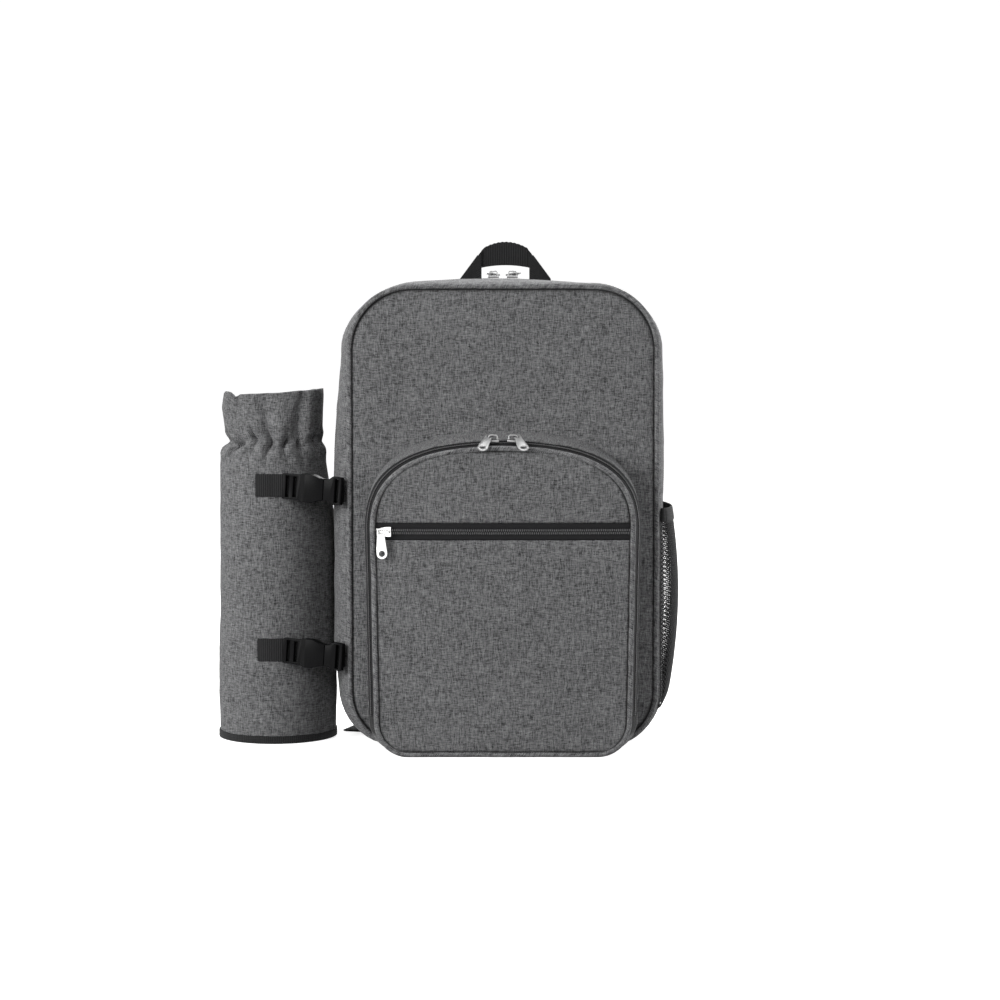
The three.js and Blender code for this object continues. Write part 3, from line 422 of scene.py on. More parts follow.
def cordPiece(name, stations, radius, y, nodes, sides=18):
    count = len(stations)

    def place(u, v):
        station = stations[round(u * count) % count]
        turn = 2 * math.pi * v
        drift = 0.25 + 0.45 * waver(station["x"], y, station["z"], 26, 4.0)
        return offsetPoint(station, drift - radius + radius * math.cos(turn), y + radius * math.sin(turn))

    def uvAt(u, v):
        return u * stations[-1]["run"] * 0.8 + v * 6, v * 2 * math.pi * radius - u * 40

    # painted shade: the cord's sides that face the seam grooves are darkened
    def shadeAndTapeAt(u, v):
        turn = 2 * math.pi * v
        return 2.6 * max(-math.cos(turn) - 0.5, -math.copysign(1, y) * math.sin(turn) - 0.5)

    mesh = sheetMesh(count, sides, place, uvAt, flip=True, shadeAndTapeAt=shadeAndTapeAt)
    return pieceFrom(name, mesh, "piping", nodes)


# ---- main compartment ----
bodySet = {
    "width": 272, "height": 405, "depth": 140, "footRadius": 48, "shoulder": 57,
    "frontWall": 4, "backWall": 7, "gussetWall": 3, "piping": 5, "pipingProud": 1.5,
    "leftBulge": 11, "rightBulge": 7, "topBulge": 6, "crest": 0.4,
    "upperCorner": 4, "lowerCorner": 0.6, "leftBelly": 4, "pinch": 1.7,
    "leftSlim": 3.6, "rightSlim": 1.4, "crownDrop": 3.6,
    "zipHeight": 222, "zipSetback": 56, "tapeWidth": 18, "tapeWall": 1.6,
}
seam = 0.3
bodyFront, bodyBack = -bodySet["depth"] / 2, bodySet["depth"] / 2
pipeRadius = bodySet["piping"] / 2
frontPipeY = bodyFront - bodySet["pipingProud"] + pipeRadius
rearPipeY = bodyBack + bodySet["pipingProud"] - pipeRadius
gussetFront, gussetRear = frontPipeY + pipeRadius + seam, rearPipeY - pipeRadius - seam
mainZipY = bodyFront + bodySet["zipSetback"]
zipFront, zipRear = mainZipY - bodySet["tapeWidth"] / 2, mainZipY + bodySet["tapeWidth"] / 2

bodyOutline = outlineOf(
    {
        "footHalf": bodySet["width"] / 2, "shoulderHalf": bodySet["width"] / 2, "height": bodySet["height"],
        "footRadius": bodySet["footRadius"], "run": bodySet["shoulder"], "rise": bodySet["shoulder"],
        "fullness": 0.55, "split": bodySet["zipHeight"],
    },
    {"foot": 12, "corner": 12, "lower": 34, "upper": 24, "shoulder": 16, "crown": 14},
)
skew = math.log(0.5) / math.log(bodySet["crest"])
tuck, tuckSlope = 2.0, 0.9  # how far a cloth edge runs on under its piping, and how steeply


def bodyBulge(station):
    nx, nz = station["nx"], station["nz"]
    power = bodySet["upperCorner"] if nz > 0 else bodySet["lowerCorner"]
    belly = bodySet["leftBelly"] * clamp((310 - station["z"]) / 60) * clamp((station["z"] - 48) / 40)
    slim = clamp((station["z"] - 296) / 48)
    drop = bodySet["crownDrop"] * clamp((abs(station["x"] + 12) - 25) / 60)
    bulge = (bodySet["leftBulge"] + belly - bodySet["leftSlim"] * slim) * max(0, -nx) ** power
    bulge += (bodySet["rightBulge"] - bodySet["rightSlim"] * slim) * max(0, nx) ** power
    bulge += (bodySet["topBulge"] - drop) * max(0, nz) ** power
    return min(bulge, station["z"] / -nz) if nz < 0 else bulge


def bodySide(station, y, lift=0.0):
    share = clamp((y - gussetFront) / (gussetRear - gussetFront))
    arch = math.sin(math.pi * share**skew)
    fold = 1.1 * waver(station["x"], y * 0.6, station["z"], 38, 3.0)
    fold += 0.4 * waver(station["x"], y, station["z"], 13, 9.0)
    offFloor = clamp(1 + 3 * min(0, station["nz"]))
    lift -= tuckSlope * max(0, gussetFront - y, y - gussetRear)
    lift -= bodySet["pinch"] * (hump(y, gussetFront, 3.2) + hump(y, gussetRear, 3.2)) * offFloor
    free = arch * offFloor * clamp(1 - max(0, station["nz"]) * 0.6)
    return offsetPoint(station, bodyBulge(station) * arch + fold * free + lift, y)


def panelPiece(name, stations, inset, y, depthAt, middle, finish, nodes, wall, rings=34, facing=-1):
    count = len(stations)

    def place(u, v):
        reach = v**0.8
        sewn = clamp((reach - 0.972) / 0.028)
        edge = offsetPoint(stations[round(u * count) % count], tuck - inset, y)
        point = middle.lerp(Vector((edge.x, 0, edge.z)), reach)
        return Vector((point.x, y + facing * (depthAt(point.x, point.z, reach) - sewn * tuck), point.z))

    def uvAt(u, v):
        point = place(u, v)
        return point.x * -facing, point.z

    # painted shade: the last rings by the piping are darkened
    mesh = sheetMesh(count, rings, place, uvAt, flip=facing < 0, shadeAndTapeAt=lambda u, v: 1.3 - (1 - v) * rings)
    return giveWall(pieceFrom(name, mesh, finish, nodes), wall)


def frontDepth(x, z, reach):
    soft = 0.7 * waver(x, 0, z, 70, 1.0) * (1 - reach**4)
    return (1 - reach**14) * 1.6 + soft


inset = bodySet["piping"] + seam
bodyMiddle = Vector((0, 0, bodySet["height"] / 2))
panelPiece(
    "front_panel_cloth", bodyOutline, inset, bodyFront, frontDepth, bodyMiddle,
    "panel", ["front_panel"], bodySet["frontWall"],
)


def backDepth(x, z, reach):
    ribs = -1.4 * sum(hump(x, place, 2.2) for place in (-62, 0, 62)) * clamp((1 - reach) * 8)
    return 3.2 * (1 - reach**5) + ribs + 0.6 * waver(x, 5, z, 60, 4.0)


back = panelPiece(
    "back_panel_pad", bodyOutline, inset, bodyBack - 1.5, backDepth, bodyMiddle,
    "cloth", ["back_panel"], bodySet["backWall"] - 1.5, rings=30, facing=1,
)

cordPiece("front_piping_cord", bodyOutline, pipeRadius, frontPipeY, ["front_piping"])
cordPiece("rear_piping_cord", bodyOutline, pipeRadius, rearPipeY, ["rear_piping"])

topRun, footRun = overTop(bodyOutline, bodySet["zipHeight"]), underFoot(bodyOutline, bodySet["zipHeight"])
for name, run, fromY, toY, cells, node in (
    ("base_gusset_cloth", footRun, gussetFront - tuck, gussetRear + tuck, 34, "base_gusset"),
    ("top_front_cloth", topRun, gussetFront - tuck, zipFront - seam, 16, "top_gusset_front"),
    ("top_rear_cloth", topRun, zipRear + seam, gussetRear + tuck, 20, "top_gusset_rear"),
):
    bandPiece(name, run, fromY, toY, cells, bodySide, "cloth", [node], bodySet["gussetWall"])
print("main compartment made")


# ---- zips: woven tape and a coil of moulded links ----
zipSet = {"pitch": 1.6, "link": 2.1, "linkWide": 0.85, "linkHigh": 1.0, "coilRecess": 0.5, "rowApart": 2.5}


def linkMesh():
    link = bmesh.new()
    bmesh.ops.create_cube(link, size=1.0)
    size = Vector((zipSet["linkWide"], zipSet["link"], zipSet["linkHigh"])) * mm
    bmesh.ops.scale(link, vec=size, verts=link.verts)
    bmesh.ops.bevel(
        link, geom=link.edges[:], offset=0.24 * mm, segments=1, profile=0.5, affect="EDGES", material=-1
    )
    data = bpy.data.meshes.new("link")
    link.to_mesh(data)
    link.free()
    return data


def coilPiece(name, curve):
    link, mesh = linkMesh(), bmesh.new()
    length = sum((b[0] - a[0]).length for a, b in zip(curve, curve[1:]))
    count, at, gone = int(2 * length / zipSet["pitch"]), 0, 0.0
    for i in range(count):
        target = (i + 0.5) * length / count
        while at < len(curve) - 2 and gone + (curve[at + 1][0] - curve[at][0]).length < target:
            gone += (curve[at + 1][0] - curve[at][0]).length
            at += 1
        start, end = curve[at], curve[at + 1]
        share = (target - gone) / (end[0] - start[0]).length
        place, up = start[0].lerp(end[0], share), start[1].lerp(end[1], share).normalized()
        along = (end[0] - start[0]).normalized()
        across = up.cross(along).normalized()
        up = along.cross(across)
        place = place + across * (zipSet["rowApart"] / 2 * (1 if i % 2 else -1))
        turn = Matrix((along, across, up)).transposed()
        old = len(mesh.verts)
        mesh.from_mesh(link)
        mesh.verts.ensure_lookup_table()
        there = Matrix.Translation(place * mm) @ turn.to_4x4()
        bmesh.ops.transform(mesh, matrix=there, verts=mesh.verts[old:])
    bpy.data.meshes.remove(link)
    return pieceFrom(name, mesh, "coil", [], smooth=False)


def zipPieces(name, stations, fromY, toY, side, nodes):
    middle = (fromY + toY) / 2

    def tapeSide(station, y):
        near = hump(y, middle, 3.2)
        return side(station, y, -zipSet["coilRecess"] * near - 0.25)

    wall = bodySet["tapeWall"]
    bandPiece(name + "_tape", stations, fromY, toY, 14, tapeSide, "tape", nodes, wall)
    curve = []
    for station in stations:
        place = side(station, middle, zipSet["linkHigh"] / 2 - zipSet["coilRecess"])
        up = (side(station, middle, 1.0) - side(station, middle, 0.0)).normalized()
        curve.append((place, up))
    coilPiece(name + "_coil", curve)


zipPieces("main_zip", topRun, zipFront, zipRear, bodySide, ["main_zipper"])

# ---- front pocket ----
pocketSet = {
    "depth": 50, "width": 226, "footWidth": 220, "height": 266, "rise": 71, "footRadius": 30,
    "flare": 7, "topFlare": 12, "wall": 2.5, "crown": 4, "zipHeight": 34, "zipTop": 65.5, "zipTall": 14,
    "sideZip": 0.85, "topZip": 0.35, "fullness": 0.69,
}
pocketFront = bodyFront - pocketSet["depth"]
pocketPipeY = pocketFront - bodySet["pipingProud"] + pipeRadius
pocketZipFront = pocketPipeY + pipeRadius + seam
pocketZipRear = pocketZipFront + bodySet["tapeWidth"]
pocketCuts = {"foot": 14, "corner": 14, "lower": 3, "upper": 36, "shoulder": 40, "crown": 1}
pocketSizes = {
    "footHalf": pocketSet["footWidth"] / 2, "shoulderHalf": pocketSet["width"] / 2,
    "height": pocketSet["height"],
    "footRadius": pocketSet["footRadius"], "run": pocketSet["width"] / 2, "rise": pocketSet["rise"],
    "fullness": pocketSet["fullness"], "split": pocketSet["zipHeight"],
}
pocketOutline = outlineOf(pocketSizes, pocketCuts)
flare, topFlare = pocketSet["flare"], pocketSet["topFlare"]
pocketSeam = outlineOf(
    {
        **pocketSizes,
        "footHalf": pocketSizes["footHalf"] + flare, "shoulderHalf": pocketSizes["shoulderHalf"] + flare,
        "height": pocketSizes["height"] + topFlare, "run": pocketSizes["run"] + flare,
        "rise": pocketSizes["rise"] + topFlare,
    },
    pocketCuts,
)


def pocketSide(station, y, lift=0.0):
    far = pocketSeam[station["index"]]
    zipShare = mix(pocketSet["sideZip"], pocketSet["topZip"], max(0, station["nz"]) ** 2)
    if y < pocketZipRear:
        share = zipShare * (y - pocketPipeY) / (pocketZipRear - pocketPipeY)
    else:
        share = mix(zipShare, 1, (y - pocketZipRear) / (bodyFront - pocketZipRear))
    place = {key: mix(station[key], far[key], share) for key in ("x", "z")}
    free = math.sin(math.pi * clamp((y - pocketZipFront) / (bodyFront - pocketZipFront)))
    fold = 0.5 * waver(station["x"], y, station["z"], 24, 6.0) * free * (1 - max(0, -station["nz"]))
    lift -= tuckSlope * max(0, pocketZipFront - y)
    lift -= 0.8 * hump(y, pocketZipFront, 2.2) * clamp(station["z"] / 20)
    return offsetPoint({**station, **place}, lift + fold, y)


def rimY(station):
    return frontPipeY - pipeRadius - seam if station["z"] < pocketSet["footRadius"] else bodyFront - seam


def pocketBand(name, stations, fromY, cells, nodes):
    last = len(stations) - 1

    def place(u, v):
        station = stations[round(u * last)]
        return pocketSide(station, mix(fromY, rimY(station), v))

    def uvAt(u, v):
        return u * last * 4.2, mix(fromY, bodyFront, v)

    # painted shade: the band is darkened where it meets the body panel and, on the base, along the pocket
    # piping
    def shadeAndTapeAt(u, v):
        station, dark = stations[round(u * last)], 1.2 - (1 - v) * cells
        if fromY < pocketZipFront:  # the zip's dark end runs on below its tape
            y = mix(fromY, rimY(station), v)
            zipEnd = 1.1 * clamp((station["z"] - 12) / 8) * clamp((pocketZipRear + 1 - y) / 3)
            dark = max(dark, 1.2 - v * cells, zipEnd)
        return dark

    mesh = sheetMesh(last, cells, place, uvAt, flip=True, shadeAndTapeAt=shadeAndTapeAt)
    return giveWall(pieceFrom(name, mesh, "cloth", nodes), pocketSet["wall"])


pocketTop = overTop(pocketOutline, pocketSet["zipHeight"])
pocketFoot = underFoot(pocketOutline, pocketSet["zipHeight"])
pocketBand("pocket_gusset_cloth", pocketTop, pocketZipRear + seam, 10, ["pocket_gusset"])
pocketBand("pocket_base_cloth", pocketFoot, pocketZipFront - tuck, 16, ["pocket_base_gusset"])
zipPieces("pocket_zip", pocketTop, pocketZipFront, pocketZipRear, pocketSide, ["pocket_zipper"])
cordPiece("pocket_piping_cord", pocketOutline, pipeRadius, pocketPipeY, ["pocket_piping"])

zipTopZ = pocketSet["height"] - pocketSet["zipTop"]
zipFootZ = zipTopZ - pocketSet["zipTall"]
zipMiddleZ = (zipTopZ + zipFootZ) / 2


def pocketFaceY(x, z):
    across = clamp(1 - (x / (pocketSet["width"] / 2 - inset)) ** 2)
    upward = clamp(1 - (z / pocketSet["height"] * 2 - 1) ** 4)
    dents = 1.6 * hump((x + 92) * 0.55 + (z - 18) * 0.85, 12, 5) * hump(x, -86, 24)
    dents += 1.1 * hump((x + 60) * 0.5 + (z - 30) * 0.85, 0, 5) * hump(x, -62, 22)
    soft = 0.8 * waver(x, 1, z, 52, 2.0) * across * upward
    return pocketFront - pocketSet["crown"] * across * upward**0.5 - soft + dents * across**0.3


faceEdge = [offsetPoint(station, tuck - inset, 0) for station in pocketOutline]


def halfWidthAt(z):
    best = 0.0
    for a, b in zip(faceEdge, faceEdge[1:]):
        if a.x >= 0 and b.x >= 0 and (a.z - z) * (b.z - z) <= 0 and a.z != b.z:
            best = max(best, mix(a.x, b.x, (z - a.z) / (b.z - a.z)))
    return best


def sewnDepth(x, z, half):
    fromEdge = min(half - abs(x), z - faceFoot, faceTop - z)
    return tuck * clamp(1 - fromEdge / tuck)


def facePiece(name, fromZ, toZ, nodes, rows, zipZ):
    def place(u, v):
        z = mix(fromZ, toZ, v)
        half = halfWidthAt(z)
        x = mix(-half, half, 0.5 - 0.5 * math.cos(math.pi * u))
        fold = 0.7 * hump(z, zipZ, 1.6)
        return Vector((x, pocketFaceY(x, z) + fold + sewnDepth(x, z, half), z))

    def uvAt(u, v):
        point = place(u, v)
        return point.x, point.z

    def shadeAndTapeAt(u, v):
        # painted shade: the pocket face is darkened along its edges, next to the piping
        point = place(u, v)
        return 1.3 - min(halfWidthAt(point.z) - abs(point.x), point.z - faceFoot, faceTop - point.z) / 3.4

    piece = pieceFrom(name, sheetMesh(110, rows, place, uvAt, shadeAndTapeAt=shadeAndTapeAt), "panel", nodes)
    return giveWall(piece, pocketSet["wall"])


faceFoot, faceTop = inset - tuck, pocketSet["height"] - inset + tuck
facePiece("pocket_lower_cloth", faceFoot + 0.02, zipFootZ - seam, ["pocket_lower_panel"], 90, zipFootZ)
facePiece("pocket_upper_cloth", zipTopZ + seam, faceTop - 0.02, ["pocket_upper_panel"], 40, zipTopZ)

frontHalf = halfWidthAt(zipMiddleZ)


def frontTape(u, v):
    x, z = mix(-frontHalf, frontHalf, u), mix(zipFootZ, zipTopZ, v)
    return Vector((x, pocketFaceY(x, z) + 0.9 + 0.4 * hump(z, zipMiddleZ, 3), z))


tape = pieceFrom(
    "front_zip_tape", sheetMesh(90, 12, frontTape, lambda u, v: (u * 216, v * 14)), "tape",
    ["pocket_front_zipper"],
)
giveWall(tape, 1.4)
coilCurve = []
for i in range(60):
    x = mix(-frontHalf, frontHalf, i / 59)
    coilCurve.append((Vector((x, pocketFaceY(x, zipMiddleZ) + 0.5, zipMiddleZ)), Vector((0, -1, 0))))
coilPiece("front_zip_coil", coilCurve)
print("front pocket made")


# ---- hard pieces: the frame's own shapes with their edges rounded ----
def roundedCopy(node, name, finish, width, segments=2):
    mesh = bmesh.new()
    mesh.from_mesh(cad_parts[node].data)
    bmesh.ops.remove_doubles(mesh, verts=mesh.verts, dist=0.02 * mm)
    bmesh.ops.dissolve_limit(
        mesh, angle_limit=math.radians(4), use_dissolve_boundaries=False, verts=mesh.verts, edges=mesh.edges
    )
    folds = [edge for edge in mesh.edges if len(edge.link_faces) == 2]
    sharp = [edge for edge in folds if edge.calc_face_angle() > math.radians(24)]
    bmesh.ops.bevel(
        mesh, geom=sharp, offset=width * mm, segments=segments, profile=0.5, affect="EDGES", material=-1,
        clamp_overlap=True,
    )
    piece = pieceFrom(name, mesh, finish, [node])
    piece.data.set_sharp_from_angle(angle=math.radians(35))
    return piece


for word in ("left", "right"):
    for place in ("main", "pocket"):
        roundedCopy(f"{place}_slider_{word}", f"{place}_slider_{word}_metal", "darkNickel", 0.35)
        roundedCopy(f"{place}_pull_{word}", f"{place}_pull_{word}_metal", "darkNickel", 0.25)
    roundedCopy(f"strap_adjuster_{word}", f"strap_adjuster_{word}_plastic", "plastic", 0.8)
roundedCopy("front_zip_slider", "front_zip_slider_metal", "nickel", 0.35)
roundedCopy("front_zip_pull", "front_zip_pull_metal", "nickel", 0.25)
for word in ("upper", "lower"):
    roundedCopy(f"{word}_buckle_socket", f"{word}_socket_plastic", "plastic", 0.55)
    roundedCopy(f"{word}_buckle_clip", f"{word}_clip_plastic", "plastic", 0.55)
print("metal and plastic made")


# ---- webbing ----
webSet = {"width": 20, "thick": 1.8, "rows": 6}


def smoothRoute(points, count):
    ends = [points[0] * 2 - points[1], *points, points[-1] * 2 - points[-2]]
    route = []
    for i in range(1, len(ends) - 2):
        p0, p1, p2, p3 = ends[i - 1 : i + 3]
        k1 = max(1e-4, (p1 - p0).length) ** 0.5
        k2 = k1 + max(1e-4, (p2 - p1).length) ** 0.5
        k3 = k2 + max(1e-4, (p3 - p2).length) ** 0.5
        for j in range(24):
            t = mix(k1, k2, j / 24)
            a1, a2 = p0.lerp(p1, t / k1), p1.lerp(p2, (t - k1) / (k2 - k1))
            a3 = p2.lerp(p3, (t - k2) / (k3 - k2))
            b1, b2 = a1.lerp(a2, t / k2), a2.lerp(a3, (t - k1) / (k3 - k1))
            route.append(b1.lerp(b2, (t - k1) / (k2 - k1)))
    route.append(points[-1])
    gone = [0.0]
    for a, b in zip(route, route[1:]):
        gone.append(gone[-1] + (b - a).length)
    even, at = [], 0
    for i in range(count + 1):
        target = gone[-1] * i / count
        while at < len(gone) - 2 and gone[at + 1] < target:
            at += 1
        share = clamp((target - gone[at]) / max(1e-6, gone[at + 1] - gone[at]))
        even.append(route[at].lerp(route[at + 1], share))
    return even, gone[-1]


def stripPiece(name, points, cells, across, nodes, width=webSet["width"], thick=webSet["thick"]):
    rows = webSet["rows"]
    route, length = smoothRoute(points, cells)

    def frameAt(i):
        along = (route[min(i + 1, cells)] - route[max(i - 1, 0)]).normalized()
        side = (across - along * across.dot(along)).normalized()
        return along, side, along.cross(side)

    ring = [(-0.5, -0.5), *[(mix(-0.5, 0.5, j / rows), -0.5) for j in range(1, rows)], (0.5, -0.5)]
    ring = ring + [(w, 0.5) for w, _ in reversed(ring)]
    turns = len(ring)

    def place(u, v):
        i = round(u * cells)
        w, h = ring[round(v * turns) % turns]
        along, side, face = frameAt(i)
        edge = 1 - 0.35 * clamp((abs(w) - 0.44) / 0.06)
        return route[i] + side * (w * width) + face * (h * thick * edge)

    def uvAt(u, v):
        w, _ = ring[round(v * turns) % turns]
        return u * length, w * width

    mesh = sheetMesh(cells, turns, place, uvAt)
    piece = pieceFrom(name, closeEnds(mesh), "webbing", nodes)
    piece.data.set_sharp_from_angle(angle=math.radians(50))
    return piece


handleSet = {
    "span": 84, "rise": 43, "sag": 5, "setback": 133, "fold": 53, "foldFoot": 8.2, "ease": 2, "aside": 2.4,
}
crown = {"x": 0, "z": bodySet["height"], "nx": 0, "nz": 1}
legOuter = handleSet["span"] / 2
legInner = legOuter - webSet["width"]
handleY = bodyFront + handleSet["setback"]
handleFootZ = bodySide({**crown, "index": 0}, handleY, seam).z
foldFootZ = handleFootZ + handleSet["foldFoot"]
foldSlope = math.tan(math.radians(handleSet["fold"]))
handleTopZ = bodySet["height"] + handleSet["rise"]
gripZ = handleTopZ - webSet["width"]


def foldZ(x):
    return foldFootZ + (legOuter - x) * foldSlope


gripEnd = legInner - handleSet["ease"]
gripFoot = legOuter - (gripZ - 1.6 * handleSet["sag"] - foldFootZ) / foldSlope


def legPlace(sign):
    def place(u, v):
        x = mix(legInner, legOuter, u)
        z = mix(handleFootZ - 1.5, foldZ(x), v)
        return Vector((sign * x + handleSet["aside"], handleY - webSet["thick"], z))

    return place


def gripPlace(u, v):
    x = mix(-gripFoot, gripFoot, u)
    share = x / gripEnd
    top = foldZ(max(abs(x), gripEnd)) + (handleTopZ - foldZ(gripEnd)) * max(0, 1 - share**2)
    foot = foldZ(gripFoot) + (gripZ - 1.5 - foldZ(gripFoot)) * (1 - (x / gripFoot) ** 2)
    knobs = 0.22 * math.sin(x * math.pi / webbingSet["rib"] * mm) * v**6
    z = mix(foot, max(foot, top + knobs), v)
    return Vector((x + handleSet["aside"], handleY + 0.5 * hump(x, 0, 14), z))


def handlePiece(name, place, along, across, nodes, uvAt, flip):
    mesh = sheetMesh(along, across, place, uvAt, weld=False, flip=flip)
    piece = giveWall(pieceFrom(name, mesh, "webbing", nodes), webSet["thick"])
    soft = piece.modifiers.new("soft edge", "BEVEL")
    soft.width, soft.segments, soft.limit_method, soft.angle_limit = 0.4 * mm, 2, "ANGLE", math.radians(50)
    return piece


for word, sign in (("left", -1), ("right", 1)):
    handlePiece(
        f"handle_leg_{word}", legPlace(sign), 10, 16, [],
        lambda u, v: (v * 30, u * 20), flip=sign < 0,
    )
    low = Vector((sign * (legOuter - 0.7) + handleSet["aside"], handleY, foldFootZ))
    high = Vector((sign * (gripEnd + 5) + handleSet["aside"], handleY, foldZ(gripEnd + 5) - 0.6))
    foldRoute = [low, low.lerp(high, 0.5), high]
    stripPiece(f"handle_fold_{word}", foldRoute, 12, Vector((0, 1, 0)), [], width=3.4, thick=2.0)
handlePiece("handle_grip", gripPlace, 160, 12, ["handle"], lambda u, v: (u * 66, v * 20), flip=False)
print("handle made")

# ---- side pocket of net ----
netSet = {
    "top": 210, "foot": 34, "depth": 121, "front": -65, "rear": 56,
    "puff": 12.5, "mouth": 2.4, "wall": 1.3, "seat": 0.9,
    "binding": 12, "bindingWall": 2, "columns": 31, "rows": 42, "strand": 0.88,
    "round": 0.3, "full": 0.8, "bellyFoot": 0.02, "bellySpan": 0.86,
}
rightSide = {"x": bodySet["width"] / 2, "z": 0, "nx": 1, "nz": 0}


def netPoint(across, z, lift):
    y = mix(netSet["front"], netSet["rear"], across)
    up = (z - netSet["foot"]) / (netSet["top"] - netSet["foot"])
    around = math.sin(math.pi * clamp(across)) ** netSet["round"]
    belly = math.sin(math.pi * min(1, netSet["bellyFoot"] + up * netSet["bellySpan"])) ** netSet["full"]
    mouth = netSet["mouth"] * max(0, (up - 0.5) * 2) ** 1.5
    stand = min(netSet["puff"], max(netSet["puff"] * belly, mouth)) * around
    share = clamp((y - gussetFront) / (gussetRear - gussetFront))
    low = max(0, bodySet["footRadius"] - z)
    body = rightSide["x"] - bodySet["footRadius"] + math.sqrt(bodySet["footRadius"] ** 2 - low**2)
    body += bodySet["rightBulge"] * math.sin(math.pi * share**skew) * (1 - low / 60)
    return Vector((body + netSet["seat"] + stand + lift, y, z))


netHigh = netSet["top"] - netSet["binding"] - seam
net = sheetMesh(
    netSet["columns"], netSet["rows"],
    lambda u, v: netPoint(u, mix(netSet["foot"], netHigh, v), netSet["wall"] / 2),
    lambda u, v: (u * netSet["depth"], v * 164), weld=False,
)
straight = net.edges[:]
bmesh.ops.poke(net, faces=net.faces)
inner = [edge for edge in straight if edge.is_valid and not edge.is_boundary]
bmesh.ops.dissolve_edges(net, edges=inner, use_verts=False)
netPiece = pieceFrom("net_strands", net, "net", ["mesh_net"])
strands = netPiece.modifiers.new("strands", "WIREFRAME")
strands.thickness = netSet["strand"] * mm
strands.use_boundary = True


def bindingPlace(u, v):
    turn = 2 * math.pi * v
    z = netSet["top"] - netSet["binding"] / 2
    high, thick = netSet["binding"] / 2, netSet["bindingWall"] / 2
    return netPoint(u, z + high * bend(math.sin(turn), 0.45), thick + thick * bend(math.cos(turn), 0.45))


binding = sheetMesh(60, 24, bindingPlace, lambda u, v: (u * 125, v * 28))
pieceFrom("net_binding", closeEnds(binding), "webbing", ["mesh_binding"])
print("net pocket made")

# ---- bottle holder ----
sleeveSet = {
    "radius": 51, "height": 311, "wall": 3, "gap": 3.5, "collarFoot": 0.885,
    "neck": 266, "pitDepth": 7.5, "bindingHeight": 7, "bindingWall": 1.8,
}
sleeveX = -bodySet["width"] / 2 - bodySet["leftBulge"] - sleeveSet["gap"] - sleeveSet["bindingWall"]
sleeveX -= seam + sleeveSet["radius"]
sections = [  # height, then as shares of the radius half width, depth and shift to the side, then how flat
    (0, 1.02, 1, 0, 0), (9, 1.025, 1, 0, 0), (40, 1.04, 1, 0, 0), (130, 1.025, 1, 0.012, 0),
    (195, 1.01, 1, 0.012, 0), (228, 0.965, 1, -0.03, 0),
    (246, 0.935, 0.98, -0.053, 0), (256, 0.918, 0.96, -0.053, 0), (261.5, 0.885, 0.95, -0.045, 0),
    (266, 0.8, 0.98, -0.01, 0), (270, 0.815, 0.95, -0.02, 0.1), (275, 0.85, 0.9, -0.035, 0.3),
    (281, 0.862, 0.86, -0.048, 0.5), (297, 0.884, 0.74, -0.068, 0.8), (308, 0.874, 0.68, -0.048, 1),
    (316, 0.87, 0.66, -0.048, 1),
]
pits = [  # degrees round from the front to the right, rise off the neck line, strength
    (-128, 2, 0.8), (-104, -2, 0.7), (-76, 1, 0.7), (-49, -3, 1.0), (-22, 4, 1.0), (-3, -2, 1.1),
    (19, -1, 1.0), (37, -2, 1.1), (64, 3, 1.0), (88, -1, 0.8), (113, 1, 0.9), (139, -2, 1.0),
    (165, 2, 1.0), (188, -2, 0.9), (210, 1, 1.0),
]
rims = [  # degrees round from the front to the right, height of the mouth's rim
    (-180, 301), (-150, 301), (-120, 301.5), (-100, 303), (-88, 305.5), (-74, 309.6), (-62, 311.4),
    (-52, 311), (-45, 309), (-41.5, 306.8), (-37, 308.8), (-15, 309.4), (0, 310), (30, 311.8), (60, 313),
    (80, 313.8), (95, 313.8), (115, 312.5), (132, 313), (150, 307), (180, 301),
]


def between(table, key, column=1):
    for low, high in zip(table, table[1:]):
        if key <= high[0]:
            share = clamp((key - low[0]) / (high[0] - low[0]))
            return mix(low[column], high[column], share * share * (3 - 2 * share))
    return table[-1][column]


def linearBetween(table, key, column):
    for low, high in zip(table, table[1:]):
        if key <= high[0]:
            return mix(low[column], high[column], clamp((key - low[0]) / (high[0] - low[0])))
    return table[-1][column]


def gathers(turn, drift):
    degrees = math.degrees(turn) + drift
    ring = [(place - 360, rise, strength) for place, rise, strength in pits[-2:]] + pits
    ring += [(place + 360, rise, strength) for place, rise, strength in pits[:2]]
    for low, high in zip(ring, ring[1:]):
        if low[0] <= degrees <= high[0]:
            share = (degrees - low[0]) / (high[0] - low[0])
            puff = math.sin(math.pi * share) ** 0.75
            return 1 - puff, mix(low[1], high[1], share), mix(low[2], high[2], share)
    return 0.0, 0.0, 0.0


def rimAt(turn):
    return between(rims, math.degrees(turn))


